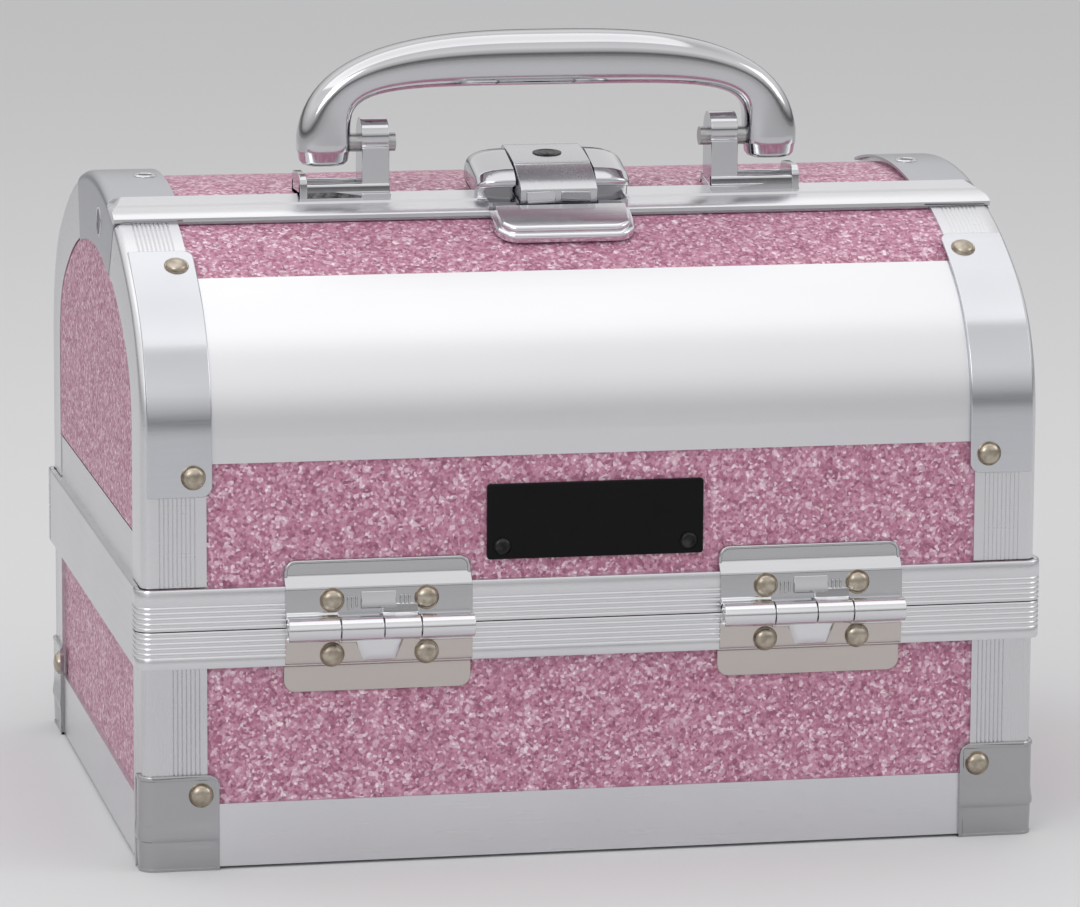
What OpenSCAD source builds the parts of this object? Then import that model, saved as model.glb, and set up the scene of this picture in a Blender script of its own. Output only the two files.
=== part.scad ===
// Arched vanity case with a fixed box, two lids that open away from each other,
// a carrying handle, a lockable latch and two trays that swing out with the lids.
// Millimetres. X runs along the case, -Y is the front, Z = 0 is the face it stands on.

/* [Case] */
// Width across the end faces
case_w = 240; // [210:1:300]
// Depth from the front face to the rear face
case_d = 185; // [170:1:220]
// Height at which the lids part from the box
seam_z = 64; // [58:0.5:68]
// Height at which the upright walls turn into the arch
spring_z = 114; // [108:1:130]
// Rise of the arch above that height
arch_rise = 57; // [53:0.5:66]
// Radius of the arch's shoulders
shoulder_r = 42; // [36:0.5:46]

/* [Walls] */
// Thickness of the covered boards of the box
board_t = 4; // [3:0.1:5]
// Thickness of the covered boards of the lids
lid_t = 3; // [2:0.1:4]
// Thickness of the floor board
floor_t = 3; // [2:0.1:5]
// Thickness of the lining pad on the floor
pad_t = 1.5; // [0.8:0.1:3]
// Thickness of the aluminium profiles over the boards
skin_t = 1.2; // [0.8:0.1:1.8]
// Thickness of the profile legs that reach round onto the end faces
leg_t = 1.5; // [1:0.1:2]

/* [Middle band] */
// Height of the band's lower edge
band_low = 54; // [48:0.5:56]
// Height of the band's upper edge
band_top = 75; // [72:0.5:78]
// How far the band stands proud of the profiles
band_proud = 1.5; // [0.8:0.1:2.5]
// Radius of the band's upright corners
band_corner_r = 4; // [2:0.5:6]
// Width of the flat rail above the band on each end face
end_rail_h = 12; // [8:0.5:16]

/* [Corner profiles and bottom rails] */
// Width of a corner profile's flange on each face
flange_w = 17; // [14:0.5:20]
// Height of the bottom rails
rail_h = 17.5; // [14:0.5:20]
// Width of the bottom rails' inward flange
rail_foot = 12; // [8:0.5:16]

/* [Corner brackets] */
// Thickness of the pressed brackets
bracket_t = 0.8; // [0.6:0.1:1.2]
// Width of a bottom bracket on each face
low_bracket_w = 20; // [18:0.5:24]
// Height of a bottom bracket
low_bracket_h = 25.5; // [20:0.5:30]
// Width of an arched bracket over the lid
arch_bracket_w = 18.5; // [16:0.5:24]
// Height at which an arched bracket starts
arch_bracket_low = 99; // [94:0.5:106]
// Angle from the crown at which an arched bracket ends
arch_bracket_a = 25.5; // [22:0.5:30]
// Width of an arched bracket's leg on the end face
bracket_leg = 9; // [6:0.5:14]
// Angle behind the crown at which the top corner plates end
top_plate_a = 13.5; // [10:0.5:18]
// Width of a top corner plate's leg on the end face
top_plate_leg = 18; // [16:0.5:20]

/* [Lid seam and strip] */
// Distance of the lid seam in front of the crown
seam_fore = 43; // [40:0.5:48]
// Lean of the cut between the lids, from upright
seam_lean = 35; // [20:1:38]
// Width of the ribbed strip behind the seam
strip_w = 14.5; // [12:0.5:18]
// How far the strip stands proud of the profiles
strip_proud = 1.2; // [0.8:0.1:1.6]
// Width of the stiffening rail inside the front lid's edge
edge_rail_w = 12; // [8:0.5:16]

/* [Satin sheet and name plate] */
// Thickness of the satin sheet on the front lid
sheet_t = 0.8; // [0.5:0.1:1]
// Height at which the satin sheet starts
sheet_low = 107.5; // [104:0.5:112]
// Distance from the keeper plate to the satin sheet's upper edge
sheet_gap = 7.7; // [6:0.1:10]
// Width of the plain black plate
plate_w = 58; // [40:1:70]
// Height of the plain black plate
plate_h = 20; // [14:0.5:22]
// Thickness of the plain black plate
plate_t = 1.4; // [1:0.1:2]
// Gap between the band and the plate
plate_gap = 5; // [4:0.5:7]

/* [Rivets] */
// Radius of a rivet head
rivet_r = 3.2; // [2.5:0.1:3.6]
// Height of a rivet head
rivet_h = 1.3; // [1:0.1:2]
// Radius of a rivet shank
shank_r = 1.6; // [1.2:0.1:2]
// Distance of a bottom bracket's rivet from the bracket's inner edge
low_rivet_side = 4.8; // [4:0.1:6]
// Distance of a bracket's rivet from the bracket's upper or lower edge
rivet_edge = 5.3; // [4.6:0.1:7]
// Distance of an arched bracket's rivet from the bracket's inner edge
arch_rivet_side = 5; // [4:0.1:7]
// Distance of an arched bracket's upper rivet from the bracket's end
arch_rivet_back = 7; // [5:0.5:9]
// Distance of the plate's rivets from its side edges
plate_rivet_side = 4; // [3:0.1:6]
// Distance of the plate's rivets from its lower edge
plate_rivet_up = 3.5; // [3:0.1:5]

/* [Hinges] */
// Distance of each hinge from the middle of the case
hinge_x = 58; // [50:0.5:64]
// Width of a hinge
hinge_w = 49.5; // [44:0.5:56]
// Height of a hinge leaf from the hinge axis
leaf_h = 17.5; // [16:0.5:19]
// Thickness of a hinge leaf
leaf_t = 1; // [0.8:0.1:1.2]
// Outer radius of the hinge knuckles
knuckle_r = 3.2; // [2.8:0.1:4]
// Radius of a hinge pin
hinge_pin_r = 1.4; // [1.1:0.1:1.8]
// Distance of a hinge rivet from the hinge's middle
hinge_rivet_x = 12.5; // [10:0.5:15]
// Distance of a hinge rivet from the hinge axis
hinge_rivet_z = 7.2; // [6.8:0.1:7.6]

/* [Handle] */
// Distance of the handle's axis in front of the crown
handle_fore = 28; // [26:0.5:30]
// Height of the handle's axis above the crown
handle_up = 11.5; // [11:0.5:14]
// Distance of a handle leg's middle from the middle of the case
handle_leg_x = 61; // [56:0.5:68]
// Radius of the handle's corners, to the middle of the bar
handle_corner_r = 15; // [12:0.5:20]
// Radius of the grip's gentle arch, to the middle of the bar
handle_arch_r = 160; // [140:5:240]
// Thickness of the bar, seen from the front
bar_t = 14; // [12:0.5:15]
// Depth of the bar, front to rear
bar_d = 17; // [15.5:0.5:18]
// Radius of the handle pins
handle_pin_r = 2.5; // [2:0.1:3]
// Width of a bracket's upright post
post_w = 8.5; // [7:0.5:10]
// Depth of a bracket's upright post
post_d = 10; // [8:0.5:12]
// Gap between a handle leg and its post
post_gap = 3.5; // [2:0.5:5]
// Depth of a bracket's base
foot_d = 20; // [16:0.5:21]

/* [Latch] */
// Width of the latch body
latch_w = 42; // [36:1:48]
// Width of the lever between the latch's shoulders
lever_w = 21; // [18:0.5:24]
// Height of the latch above the arch
latch_h = 8.8; // [8.6:0.1:9]
// Length of the latch body behind its middle
latch_back = 14.5; // [14:0.5:16]
// Length of the shoulders in front of the latch's middle
shoulder_fore = 9; // [7:0.5:11]
// Thickness of the latch's base plate above the strip
latch_plate_t = 2; // [1.6:0.1:2.2]
// Length of the keeper plate on the front lid
keeper_l = 17; // [14:0.5:20]
// Width of the keeper plate
keeper_w = 38; // [34:1:44]
// Radius of the keeper plate's corners
keeper_corner_r = 7; // [5:0.5:9]
// Radius of the lock barrel
barrel_r = 2.9; // [2.4:0.1:3.2]

/* [Trays] */
// Height of the trays' underside
tray_z = 84; // [83:0.5:88]
// Height of a tray
tray_h = 22; // [20:0.5:28]
// Wall thickness of a tray
tray_t = 1.8; // [1.4:0.1:2.4]
// Number of cells in a tray
tray_cells = 3; // [2:1:5]
// Half of the gap between the two trays
tray_mid = 6; // [5:0.5:9]
// Gap between a tray and its lid
tray_room = 10; // [8:0.5:14]
// Length of a tray arm between its pivots
arm_l = 60; // [56:0.5:64]
// Lean of a closed tray arm, from upright
arm_lean = 46; // [43:0.5:48]
// Width of a tray arm
arm_w = 8; // [6:0.5:9]
// Thickness of a tray arm
arm_t = 2; // [1.5:0.1:2.4]
// Distance between the two arms of a tray
arm_pitch = 20; // [18:0.5:24]
// Height of the arms' upper pivots above the trays' underside
bore_up = 12; // [9:0.5:14]
// Distance of the inner arms' upper pivots from the trays' inner faces
bore_in = 7; // [6.5:0.5:10]
// Radius of the arm pivots
pivot_r = 2; // [1.5:0.1:2.5]

/* [Hidden] */
$fn = 64;

// Clearances
move_gap = 0.3;      // between parts that move past each other
edge_gap = 0.4;      // between a lid's inner faces and a gable's edge
bore_gap = 0.05;     // radial gap of a pin in its bore
open_gap = 0.1;      // radial gap of the inner arms' pins in the tray
past = 20;           // by which a shape reaches past what cuts it
big = 400;           // larger than any part

// The case's outline
half_w = case_w / 2;
half_d = case_d / 2;
crown_r = (half_d * half_d + arch_rise * arch_rise - 2 * half_d * shoulder_r)
    / (2 * (arch_rise - shoulder_r));
crown_z = spring_z + arch_rise - crown_r;
turn_a = atan2(half_d - shoulder_r, spring_z - crown_z);
crest_z = spring_z + arch_rise;

// Insets from the outline to the faces of the layers
wall_in = skin_t + board_t;
lid_in = skin_t + lid_t;
rim_in = wall_in;
gable_in = rim_in + edge_gap;
lip_t = 1;

// Heights from the standing face up
frame_z = bracket_t;
floor_z = frame_z + skin_t;
pad_z = floor_z + floor_t;
rim_top = seam_z - move_gap / 2;
lid_low = seam_z + move_gap / 2;
rim_cap = 1.9;
board_top = rim_top - rim_cap;
lid_board_low = lid_low + 3.85;
leg_low = band_top + move_gap;

// Faces along X
leg_x = half_w - leg_t;
gable_x = leg_x - move_gap;
gable_inner_x = gable_x - board_t;
end_board_x = half_w - skin_t;
end_inner_x = end_board_x - board_t;

// The seam between the lids
seam_y = -seam_fore;
strip_back = seam_y + strip_w;
strip_lip = 1.6;

// Hinges
hinge_y = half_d + band_proud + knuckle_r + move_gap;
leaf_y = half_d + band_proud;
step_y = half_d - skin_t;
knuckles = 4;
knuckle_l = hinge_w / knuckles;
knuckle_slit = 0.3;

// Handle
handle_y = -handle_fore;
handle_z = crest_z + handle_up;
corner_x = handle_leg_x - handle_corner_r;
handle_turn = asin(corner_x / (handle_arch_r - handle_corner_r));
grip_z = handle_z - (handle_arch_r - handle_corner_r) * cos(handle_turn);
foot_gap = 0.6;
foot_swell = 0.3;
bend_step = 0.2;      // the bends are this much slimmer than the grip
bend_overlap = 3;     // degrees by which a bend runs into the grip
post_out = handle_leg_x - bar_t / 2 - post_gap;
post_in = post_out - post_w;
foot_out = handle_leg_x + bar_t / 2 - 2.5;
foot_top = handle_z - bar_d / 2 - foot_swell - foot_gap;

// Latch, in its own frame: y along the lid's surface, z away from it
latch_y = -handle_fore;
latch_a = asin(handle_fore / crown_r);
latch_z = top_z(latch_y);
latch_floor = strip_proud + latch_plate_t / 2;
lever_r = (latch_h - latch_floor - move_gap) / 2;
lever_pivot_y = latch_back - 4;
lever_pivot_z = latch_h - lever_r;
lever_nose = 2.2;
lever_step_y = -4;    // where the lever's flat top ends
lever_step_l = 1.5;   // length of the slope down to its nose
deck_drop = 0.6;      // by which the lever's deck lies below its pivots
lever_front = -(seam_fore - handle_fore) / cos(latch_a) + 0.2;
trunnion_r = 1.5;
trunnion_l = 3;
barrel_y = 3;

// Trays
arm_x = gable_inner_x - move_gap - 1.6 - arm_t;
tray_half_w = arm_x - move_gap - 1.4;
tray_out = half_d - lid_in - tray_room;
top_y = tray_mid + bore_in + arm_pitch;
top_pivot_z = tray_z + bore_up;
pivot_y = top_y + arm_l * sin(arm_lean);
pivot_z = top_pivot_z - arm_l * cos(arm_lean);

// Rivet places
low_rivet = low_bracket_w - low_rivet_side;
low_rivet_z = low_bracket_h - rivet_edge;
arch_rivet_x = half_w - arch_bracket_w + arch_rivet_side;
arch_rivet_z = arch_bracket_low + rivet_edge;
arch_rivet_a = arch_bracket_a + asin(arch_rivet_back / crown_r);
plate_rivet_x = plate_w / 2 - plate_rivet_side;
plate_rivet_z = band_top + plate_gap + plate_rivet_up;

// ---- Outlines in the YZ plane ----

// Height of the arch at a distance y from the middle, out past the profiles' faces
function top_z(y, out = 0) = crown_z + sqrt((crown_r + out) * (crown_r + out) - y * y);

// The case's outline drawn inward by inset, from height low upward
module outline(inset, low) {
    half = half_d - inset;
    shoulder_y = half_d - shoulder_r;
    reach = crown_r + past;
    if (low < spring_z)
        translate([-half, low])
            square([2 * half, spring_z - low]);
    intersection() {
        for (side = [-1, 1])
            translate([side * shoulder_y, spring_z])
                circle(r = shoulder_r - inset);
        translate([-big / 2, spring_z])
            square([big, big / 2]);
    }
    intersection() {
        translate([0, crown_z])
            circle(r = crown_r - inset, $fn = 180);
        polygon([
            [-shoulder_y, spring_z],
            [-reach * sin(turn_a), crown_z + reach * cos(turn_a)],
            [0, crown_z + 2 * reach],
            [reach * sin(turn_a), crown_z + reach * cos(turn_a)],
            [shoulder_y, spring_z]
        ]);
    }
}

// A layer that follows the outline, between two insets
module layer(outer, inner, low) {
    difference() {
        outline(outer, low);
        outline(inner, low - 1);
    }
}

// Everything in front of the seam, moved forward by shift
module before_seam(shift) {
    translate([seam_y - shift, top_z(seam_y)])
        rotate(seam_lean)
            translate([-big, -big])
                square([big, 2 * big]);
}

// Everything behind the seam, moved back by shift
module behind_seam(shift) {
    translate([seam_y + shift, top_z(seam_y)])
        rotate(seam_lean)
            translate([0, -big])
                square([big, 2 * big]);
}

// Everything further to the front than a ray from the crown's centre
module before_ray(angle) {
    translate([0, crown_z])
        rotate(angle)
            translate([-big, -big])
                square([big, 2 * big]);
}

module above(z) {
    translate([-big, z])
        square([2 * big, big]);
}

module behind(y) {
    translate([y, -big])
        square([big, 2 * big]);
}

// ---- Placing ----

// Extrudes a YZ outline along X from x0 to x1
module along_x(x0, x1) {
    translate([x0, 0, 0])
        rotate([90, 0, 90])
            linear_extrude(x1 - x0)
                children();
}

// The same at both ends, or at one of them
module at_end(side, x0, x1) {
    if (side > 0)
        along_x(x0, x1)
            children();
    else
        along_x(-x1, -x0)
            children();
}

// A box between two corners
module block(x0, x1, y0, y1, z0, z1) {
    translate([x0, y0, z0])
        cube([x1 - x0, y1 - y0, z1 - z0]);
}

// Moves a piece onto the arch at an angle in front of the crown, standing on it
module on_crown(x, angle, out) {
    translate([x, -(crown_r + out) * sin(angle), crown_z + (crown_r + out) * cos(angle)])
        rotate([angle, 0, 0])
            children();
}

module facing_front(x, y, z) {
    translate([x, -y, z])
        rotate([90, 0, 0])
            children();
}

module facing_rear(x, y, z) {
    translate([x, y, z])
        rotate([-90, 0, 0])
            children();
}

module facing_end(side, x, y, z) {
    translate([side * x, y, z])
        rotate([0, side * 90, 0])
            children();
}

// The frame of the latch, tilted with the lid's surface
module on_latch() {
    translate([0, latch_y, latch_z])
        rotate([latch_a, 0, 0])
            children();
}

// ---- Shared shapes ----

// A domed rivet on z = 0, with a shank through what it holds
module rivet(head_r, head_h, depth) {
    dome_r = (head_r * head_r + head_h * head_h) / (2 * head_h);
    rotate_extrude()
        intersection() {
            translate([0, head_h - dome_r])
                circle(r = dome_r);
            square([head_r, head_h]);
        }
    if (depth > 0)
        translate([0, 0, -depth])
            cylinder(r = shank_r, h = depth);
}

module rivet_hole(depth) {
    translate([0, 0, -depth - 1])
        cylinder(r = shank_r + bore_gap, h = depth + 2);
}

// A rectangle in plan with round corners
module round_plan(w, d, r) {
    difference() {
        square([w, d], center = true);
        for (sx = [-1, 1], sy = [-1, 1])
            translate([sx * (w / 2 - r), sy * (d / 2 - r)])
                difference() {
                    translate([sx > 0 ? 0 : -2 * r, sy > 0 ? 0 : -2 * r])
                        square(2 * r);
                    circle(r = r);
                }
    }
}

// A frame in plan, between two insets from the case's faces
module plan_frame(outer, inner, r) {
    difference() {
        round_plan(case_w - 2 * outer, case_d - 2 * outer, r);
        square([case_w - 2 * inner, case_d - 2 * inner], center = true);
    }
}

// ---- Box ----

module base_floor() {
    color("dimgray")
        block(-end_board_x, end_board_x, -half_d + skin_t, half_d - skin_t, floor_z, pad_z);
}

module floor_pad() {
    color("black")
        block(-end_inner_x + 1, end_inner_x - 1, -half_d + wall_in + 1, half_d - wall_in - 1,
            pad_z, pad_z + pad_t);
}

module long_board(side) {
    y = half_d - skin_t;
    mirror([0, side > 0 ? 1 : 0, 0])
        block(-end_board_x, end_board_x, -y, -y + board_t, pad_z, board_top);
}

module base_front_panel() {
    color("palevioletred")
        long_board(-1);
}

module base_rear_panel() {
    color("palevioletred")
        long_board(1);
}

// An end board, drilled for the pivots of the tray arms
module end_board(side) {
    x = [min(side * end_inner_x, side * end_board_x), max(side * end_inner_x, side * end_board_x)];
    y = half_d - wall_in;
    difference() {
        block(x[0], x[1], -y, y, pad_z, board_top);
        for (front = [-1, 1], inner = [0, 1])
            translate([side * (end_inner_x - 1), front * (pivot_y - inner * arm_pitch), pivot_z])
                rotate([0, side * 90, 0])
                    cylinder(r = pivot_r + bore_gap, h = 3.5);
    }
}

module base_left_panel() {
    color("palevioletred")
        end_board(-1);
}

module base_right_panel() {
    color("palevioletred")
        end_board(1);
}

// The arched end board that stands on the rim, inside both lids
module gable(side) {
    at_end(side, gable_inner_x, gable_x)
        outline(gable_in, rim_top);
}

module left_gable() {
    color("palevioletred")
        gable(-1);
}

module right_gable() {
    color("palevioletred")
        gable(1);
}

// Angle rails round the bottom, one to a side, between the corner posts
module bottom_rails() {
    long_half = half_w - flange_w;
    short_half = half_d - flange_w;
    color("silver") {
        for (side = [0, 1])
            mirror([0, side, 0]) {
                block(-long_half, long_half, -half_d, -half_d + skin_t, frame_z, rail_h);
                block(-long_half, long_half, -half_d, -half_d + rail_foot, frame_z, floor_z);
            }
        for (side = [0, 1])
            mirror([side, 0, 0]) {
                block(-half_w, -half_w + skin_t, -short_half, short_half, frame_z, rail_h);
                block(-half_w, -half_w + rail_foot, -short_half, short_half, frame_z, floor_z);
            }
    }
}

// An angle in plan at the corner of the case, with a round outer edge
module corner_angle(w, outer, inner, r) {
    intersection() {
        plan_frame(outer, inner, r);
        translate([half_w - w, half_d - w])
            square(w + past);
    }
}

module at_corners() {
    for (mx = [0, 1], my = [0, 1])
        mirror([mx, 0, 0])
            mirror([0, my, 0])
                children();
}

module corner_posts() {
    color("silver")
        at_corners()
            translate([0, 0, frame_z])
                linear_extrude(band_low - frame_z)
                    corner_angle(flange_w, 0, skin_t, 2);
}

// The lower half of the band: a closed frame that caps the boards
module base_rim() {
    color("silver") {
        translate([0, 0, band_low])
            linear_extrude(rim_top - band_low)
                plan_frame(-band_proud, skin_t, band_corner_r);
        translate([0, 0, board_top])
            linear_extrude(rim_top - board_top)
                plan_frame(skin_t, wall_in + lip_t, 1);
        translate([0, 0, board_top - 2])
            linear_extrude(rim_top - board_top + 2)
                plan_frame(wall_in, wall_in + lip_t, 0.5);
    }
}

// The band's upper half on an end face, with the flat rail above it
module end_rail(side) {
    y = half_d - rim_in - edge_gap;
    rail_y = half_d - flange_w - move_gap;
    x = side * (gable_x + half_w + band_proud) / 2;
    t = half_w + band_proud - gable_x;
    rail_x = side * (gable_x + leg_t / 2);
    translate([x, 0, (rim_top + band_top) / 2])
        cube([t, 2 * y, band_top - rim_top], center = true);
    translate([rail_x, 0, band_top + end_rail_h / 2])
        cube([leg_t, 2 * rail_y, end_rail_h], center = true);
}

module left_end_rail() {
    color("silver")
        end_rail(-1);
}

module right_end_rail() {
    color("silver")
        end_rail(1);
}

// Pressed three-sided brackets that the case stands on
module corner_brackets() {
    color("gainsboro")
        difference() {
            at_corners()
                difference() {
                    linear_extrude(low_bracket_h)
                        corner_angle(low_bracket_w, -bracket_t, low_bracket_w, 3);
                    translate([0, 0, frame_z])
                        linear_extrude(low_bracket_h)
                            translate([half_w - big, half_d - big])
                                square(big);
                }
            for (sx = [-1, 1], front = [0, 1])
                mirror([0, front, 0])
                    facing_front(sx * (half_w - low_rivet), half_d + bracket_t, low_rivet_z)
                        rivet_hole(bracket_t);
            for (side = [-1, 1], sy = [-1, 1])
                facing_end(side, half_w + bracket_t, sy * (half_d - low_rivet), low_rivet_z)
                    rivet_hole(bracket_t);
        }
}

// Every rivet on the box: two to a bottom bracket and two to a hinge
module base_rivets() {
    color("tan") {
        for (sx = [-1, 1], front = [0, 1])
            mirror([0, front, 0])
                facing_front(sx * (half_w - low_rivet), half_d + bracket_t, low_rivet_z)
                    rivet(rivet_r, rivet_h, bracket_t);
        for (side = [-1, 1], sy = [-1, 1])
            facing_end(side, half_w + bracket_t, sy * (half_d - low_rivet), low_rivet_z)
                rivet(rivet_r, rivet_h, bracket_t);
        for (sx = [-1, 1], dx = [-1, 1], front = [0, 1])
            mirror([0, front, 0])
                hinge_rivet(sx * hinge_x + dx * hinge_rivet_x, -hinge_rivet_z);
    }
}

// ---- Hinges ----

module hinge_rivet(x, dz) {
    facing_front(x, leaf_y + leaf_t, seam_z + dz)
        rivet(rivet_r, rivet_h, leaf_t);
}

// A hinge leaf at the front, up (1) to the lid or down (-1) to the box
module hinge_leaf(x, up) {
    z_far = leaf_h;
    step_z = (up > 0 ? band_top - seam_z : seam_z - band_low);
    first = (up > 0 ? 0 : 1);
    x0 = x - hinge_w / 2;
    translate([0, 0, seam_z])
        mirror([0, 0, up > 0 ? 0 : 1])
            difference() {
                union() {
                    block(x - hinge_w / 2, x + hinge_w / 2, -leaf_y - leaf_t, -leaf_y,
                        knuckle_r + move_gap, step_z + leaf_t);
                    block(x - hinge_w / 2, x + hinge_w / 2, -leaf_y, -step_y,
                        step_z, step_z + leaf_t);
                    block(x - hinge_w / 2, x + hinge_w / 2, -step_y - leaf_t, -step_y,
                        step_z, z_far);
                    for (k = [first : 2 : knuckles - 1])
                        block(x0 + k * knuckle_l + knuckle_slit / 2,
                            x0 + (k + 1) * knuckle_l - knuckle_slit / 2,
                            -leaf_y - leaf_t, -leaf_y, 0, knuckle_r + 1);
                    for (k = [first : 2 : knuckles - 1])
                        translate([x0 + k * knuckle_l + knuckle_slit / 2, -hinge_y, 0])
                            rotate([0, 90, 0])
                                cylinder(r = knuckle_r, h = knuckle_l - knuckle_slit);
                }
                translate([x - hinge_w / 2, -hinge_y, 0])
                    rotate([0, 90, 0])
                        cylinder(r = hinge_pin_r + bore_gap, h = hinge_w);
                for (dx = [-1, 1])
                    facing_front(x + dx * hinge_rivet_x, leaf_y + leaf_t, hinge_rivet_z)
                        rivet_hole(leaf_t);
            }
}

module front_left_hinge_base_leaf() {
    color("lightgray")
        hinge_leaf(-hinge_x, -1);
}

module front_right_hinge_base_leaf() {
    color("lightgray")
        hinge_leaf(hinge_x, -1);
}

module rear_left_hinge_base_leaf() {
    color("lightgray")
        mirror([0, 1, 0])
            hinge_leaf(-hinge_x, -1);
}

module rear_right_hinge_base_leaf() {
    color("lightgray")
        mirror([0, 1, 0])
            hinge_leaf(hinge_x, -1);
}

module front_left_hinge_lid_leaf() {
    color("lightgray")
        hinge_leaf(-hinge_x, 1);
}

module front_right_hinge_lid_leaf() {
    color("lightgray")
        hinge_leaf(hinge_x, 1);
}

module rear_left_hinge_lid_leaf() {
    color("lightgray")
        mirror([0, 1, 0])
            hinge_leaf(-hinge_x, 1);
}

module rear_right_hinge_lid_leaf() {
    color("lightgray")
        mirror([0, 1, 0])
            hinge_leaf(hinge_x, 1);
}

module hinge_pins() {
    color("gray")
        for (sx = [-1, 1], sy = [-1, 1])
            translate([sx * hinge_x - hinge_w / 2, sy * hinge_y, seam_z])
                rotate([0, 90, 0])
                    cylinder(r = hinge_pin_r, h = hinge_w);
}

// ---- Parts that both lids have ----

// The upper half of the band along the front, slotted for the lid's board
module lid_rim() {
    translate([0, 0, lid_low])
        linear_extrude(band_top - lid_low)
            intersection() {
                plan_frame(-band_proud, -band_proud + skin_t, band_corner_r);
                translate([-big / 2, -big])
                    square([big, big - half_d + rim_in]);
            }
    block(-half_w - band_proud + skin_t, half_w + band_proud - skin_t,
        -half_d - band_proud + skin_t, -half_d + skin_t, lid_low, band_top);
    block(-half_w - band_proud + skin_t, half_w + band_proud - skin_t,
        -half_d + skin_t, -half_d + rim_in, lid_low, lid_board_low);
    block(-gable_inner_x + 1, gable_inner_x - 1,
        -half_d + lid_in, -half_d + rim_in, lid_board_low, band_top);
}

// An arched angle profile: a flange over the lid and a leg on the end face
module front_profile(side) {
    at_end(side, half_w - flange_w, half_w)
        intersection() {
            layer(0, skin_t, leg_low);
            before_seam(move_gap / 2);
        }
    at_end(side, leg_x, half_w)
        intersection() {
            layer(0, flange_w, leg_low);
            before_seam(move_gap / 2);
        }
}

module rear_profile(side) {
    at_end(side, half_w - flange_w, half_w)
        intersection() {
            layer(0, skin_t, leg_low);
            behind_seam(move_gap / 2);
            behind(strip_back);
        }
    at_end(side, leg_x, half_w)
        intersection() {
            layer(0, flange_w, leg_low);
            behind_seam(move_gap / 2);
        }
}

// A pressed bracket over a profile's shoulder, with its rivets' holes
module arch_bracket(side) {
    difference() {
        union() {
            at_end(side, half_w - arch_bracket_w, half_w + bracket_t)
                intersection() {
                    layer(-bracket_t, 0, arch_bracket_low);
                    before_ray(arch_bracket_a);
                }
            at_end(side, half_w, half_w + bracket_t)
                intersection() {
                    layer(-bracket_t, bracket_leg, arch_bracket_low);
                    before_ray(arch_bracket_a);
                }
        }
        facing_front(side * arch_rivet_x, half_d + bracket_t, arch_rivet_z)
            rivet_hole(bracket_t);
        on_crown(side * arch_rivet_x, arch_rivet_a, bracket_t)
            rivet_hole(bracket_t);
    }
}

module arch_rivets() {
    for (side = [-1, 1]) {
        facing_front(side * arch_rivet_x, half_d + bracket_t, arch_rivet_z)
            rivet(rivet_r, rivet_h, bracket_t);
        on_crown(side * arch_rivet_x, arch_rivet_a, bracket_t)
            rivet(rivet_r, rivet_h, bracket_t);
    }
    for (sx = [-1, 1], dx = [-1, 1])
        hinge_rivet(sx * hinge_x + dx * hinge_rivet_x, hinge_rivet_z);
}

// ---- Front lid ----

module front_lid_panel() {
    color("palevioletred")
        along_x(-leg_x, leg_x)
            intersection() {
                layer(skin_t, lid_in, lid_board_low);
                before_seam(move_gap / 2);
            }
}

module front_lid_sheet() {
    x = half_w - flange_w;
    color("whitesmoke")
        along_x(-x, x)
            intersection() {
                layer(skin_t - sheet_t, skin_t, sheet_low);
                before_ray(asin((seam_fore + keeper_l + sheet_gap) / crown_r));
            }
}

module front_lid_rim() {
    color("silver")
        lid_rim();
}

module front_lid_left_profile() {
    color("silver")
        front_profile(-1);
}

module front_lid_right_profile() {
    color("silver")
        front_profile(1);
}

module front_lid_left_bracket() {
    color("gainsboro")
        arch_bracket(-1);
}

module front_lid_right_bracket() {
    color("gainsboro")
        arch_bracket(1);
}

// A flat rail that stiffens the front lid's edge from inside
module front_lid_edge_rail() {
    x = gable_inner_x - 1;
    color("silver")
        along_x(-x, x)
            intersection() {
                layer(lid_in, rim_in, spring_z);
                before_seam(move_gap / 2);
                behind(seam_y - edge_rail_w);
            }
}

module name_plate() {
    z = band_top + plate_gap;
    color("black")
        difference() {
            block(-plate_w / 2, plate_w / 2, -half_d + skin_t - plate_t, -half_d + skin_t, z, z + plate_h);
            for (sx = [-1, 1])
                facing_front(sx * plate_rivet_x, half_d - skin_t + plate_t, plate_rivet_z)
                    rivet_hole(plate_t);
        }
}

module plate_rivets() {
    color("dimgray")
        for (sx = [-1, 1])
            facing_front(sx * plate_rivet_x, half_d - skin_t + plate_t, plate_rivet_z)
                rivet(2.4, 0.8, plate_t);
}

module front_lid_rivets() {
    color("tan")
        arch_rivets();
}

// The plate on the front lid that the latch's nose comes down to
module latch_keeper() {
    front_y = seam_y - keeper_l;
    color("lightgray")
        intersection() {
            along_x(-keeper_w / 2, keeper_w / 2)
                intersection() {
                    layer(-latch_plate_t - strip_proud, skin_t, spring_z);
                    before_seam(move_gap / 2);
                }
            linear_extrude(crest_z + past)
                translate([0, front_y + keeper_l])
                    round_plan(keeper_w, 2 * keeper_l, keeper_corner_r);
        }
}

// ---- Rear lid ----

module rear_lid_panel() {
    color("palevioletred")
        along_x(-leg_x, leg_x)
            intersection() {
                layer(skin_t, lid_in, lid_board_low);
                behind_seam(move_gap / 2 + strip_lip);
            }
}

// The strip along the rear lid's edge: over the profiles at its ends, and with a lip down the seam
module top_strip() {
    color("silver") {
        strip_bar(half_w, 0);
        strip_bar(leg_x, skin_t);
        along_x(-gable_inner_x, gable_inner_x)
            intersection() {
                layer(0, rim_in, spring_z);
                behind_seam(move_gap / 2);
                before_seam(-move_gap / 2 - strip_lip);
            }
    }
}

module strip_bar(half_length, deep) {
    along_x(-half_length, half_length)
        intersection() {
            layer(-strip_proud, deep, spring_z);
            behind_seam(move_gap / 2);
            mirror([1, 0])
                behind(-strip_back);
        }
}

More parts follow.
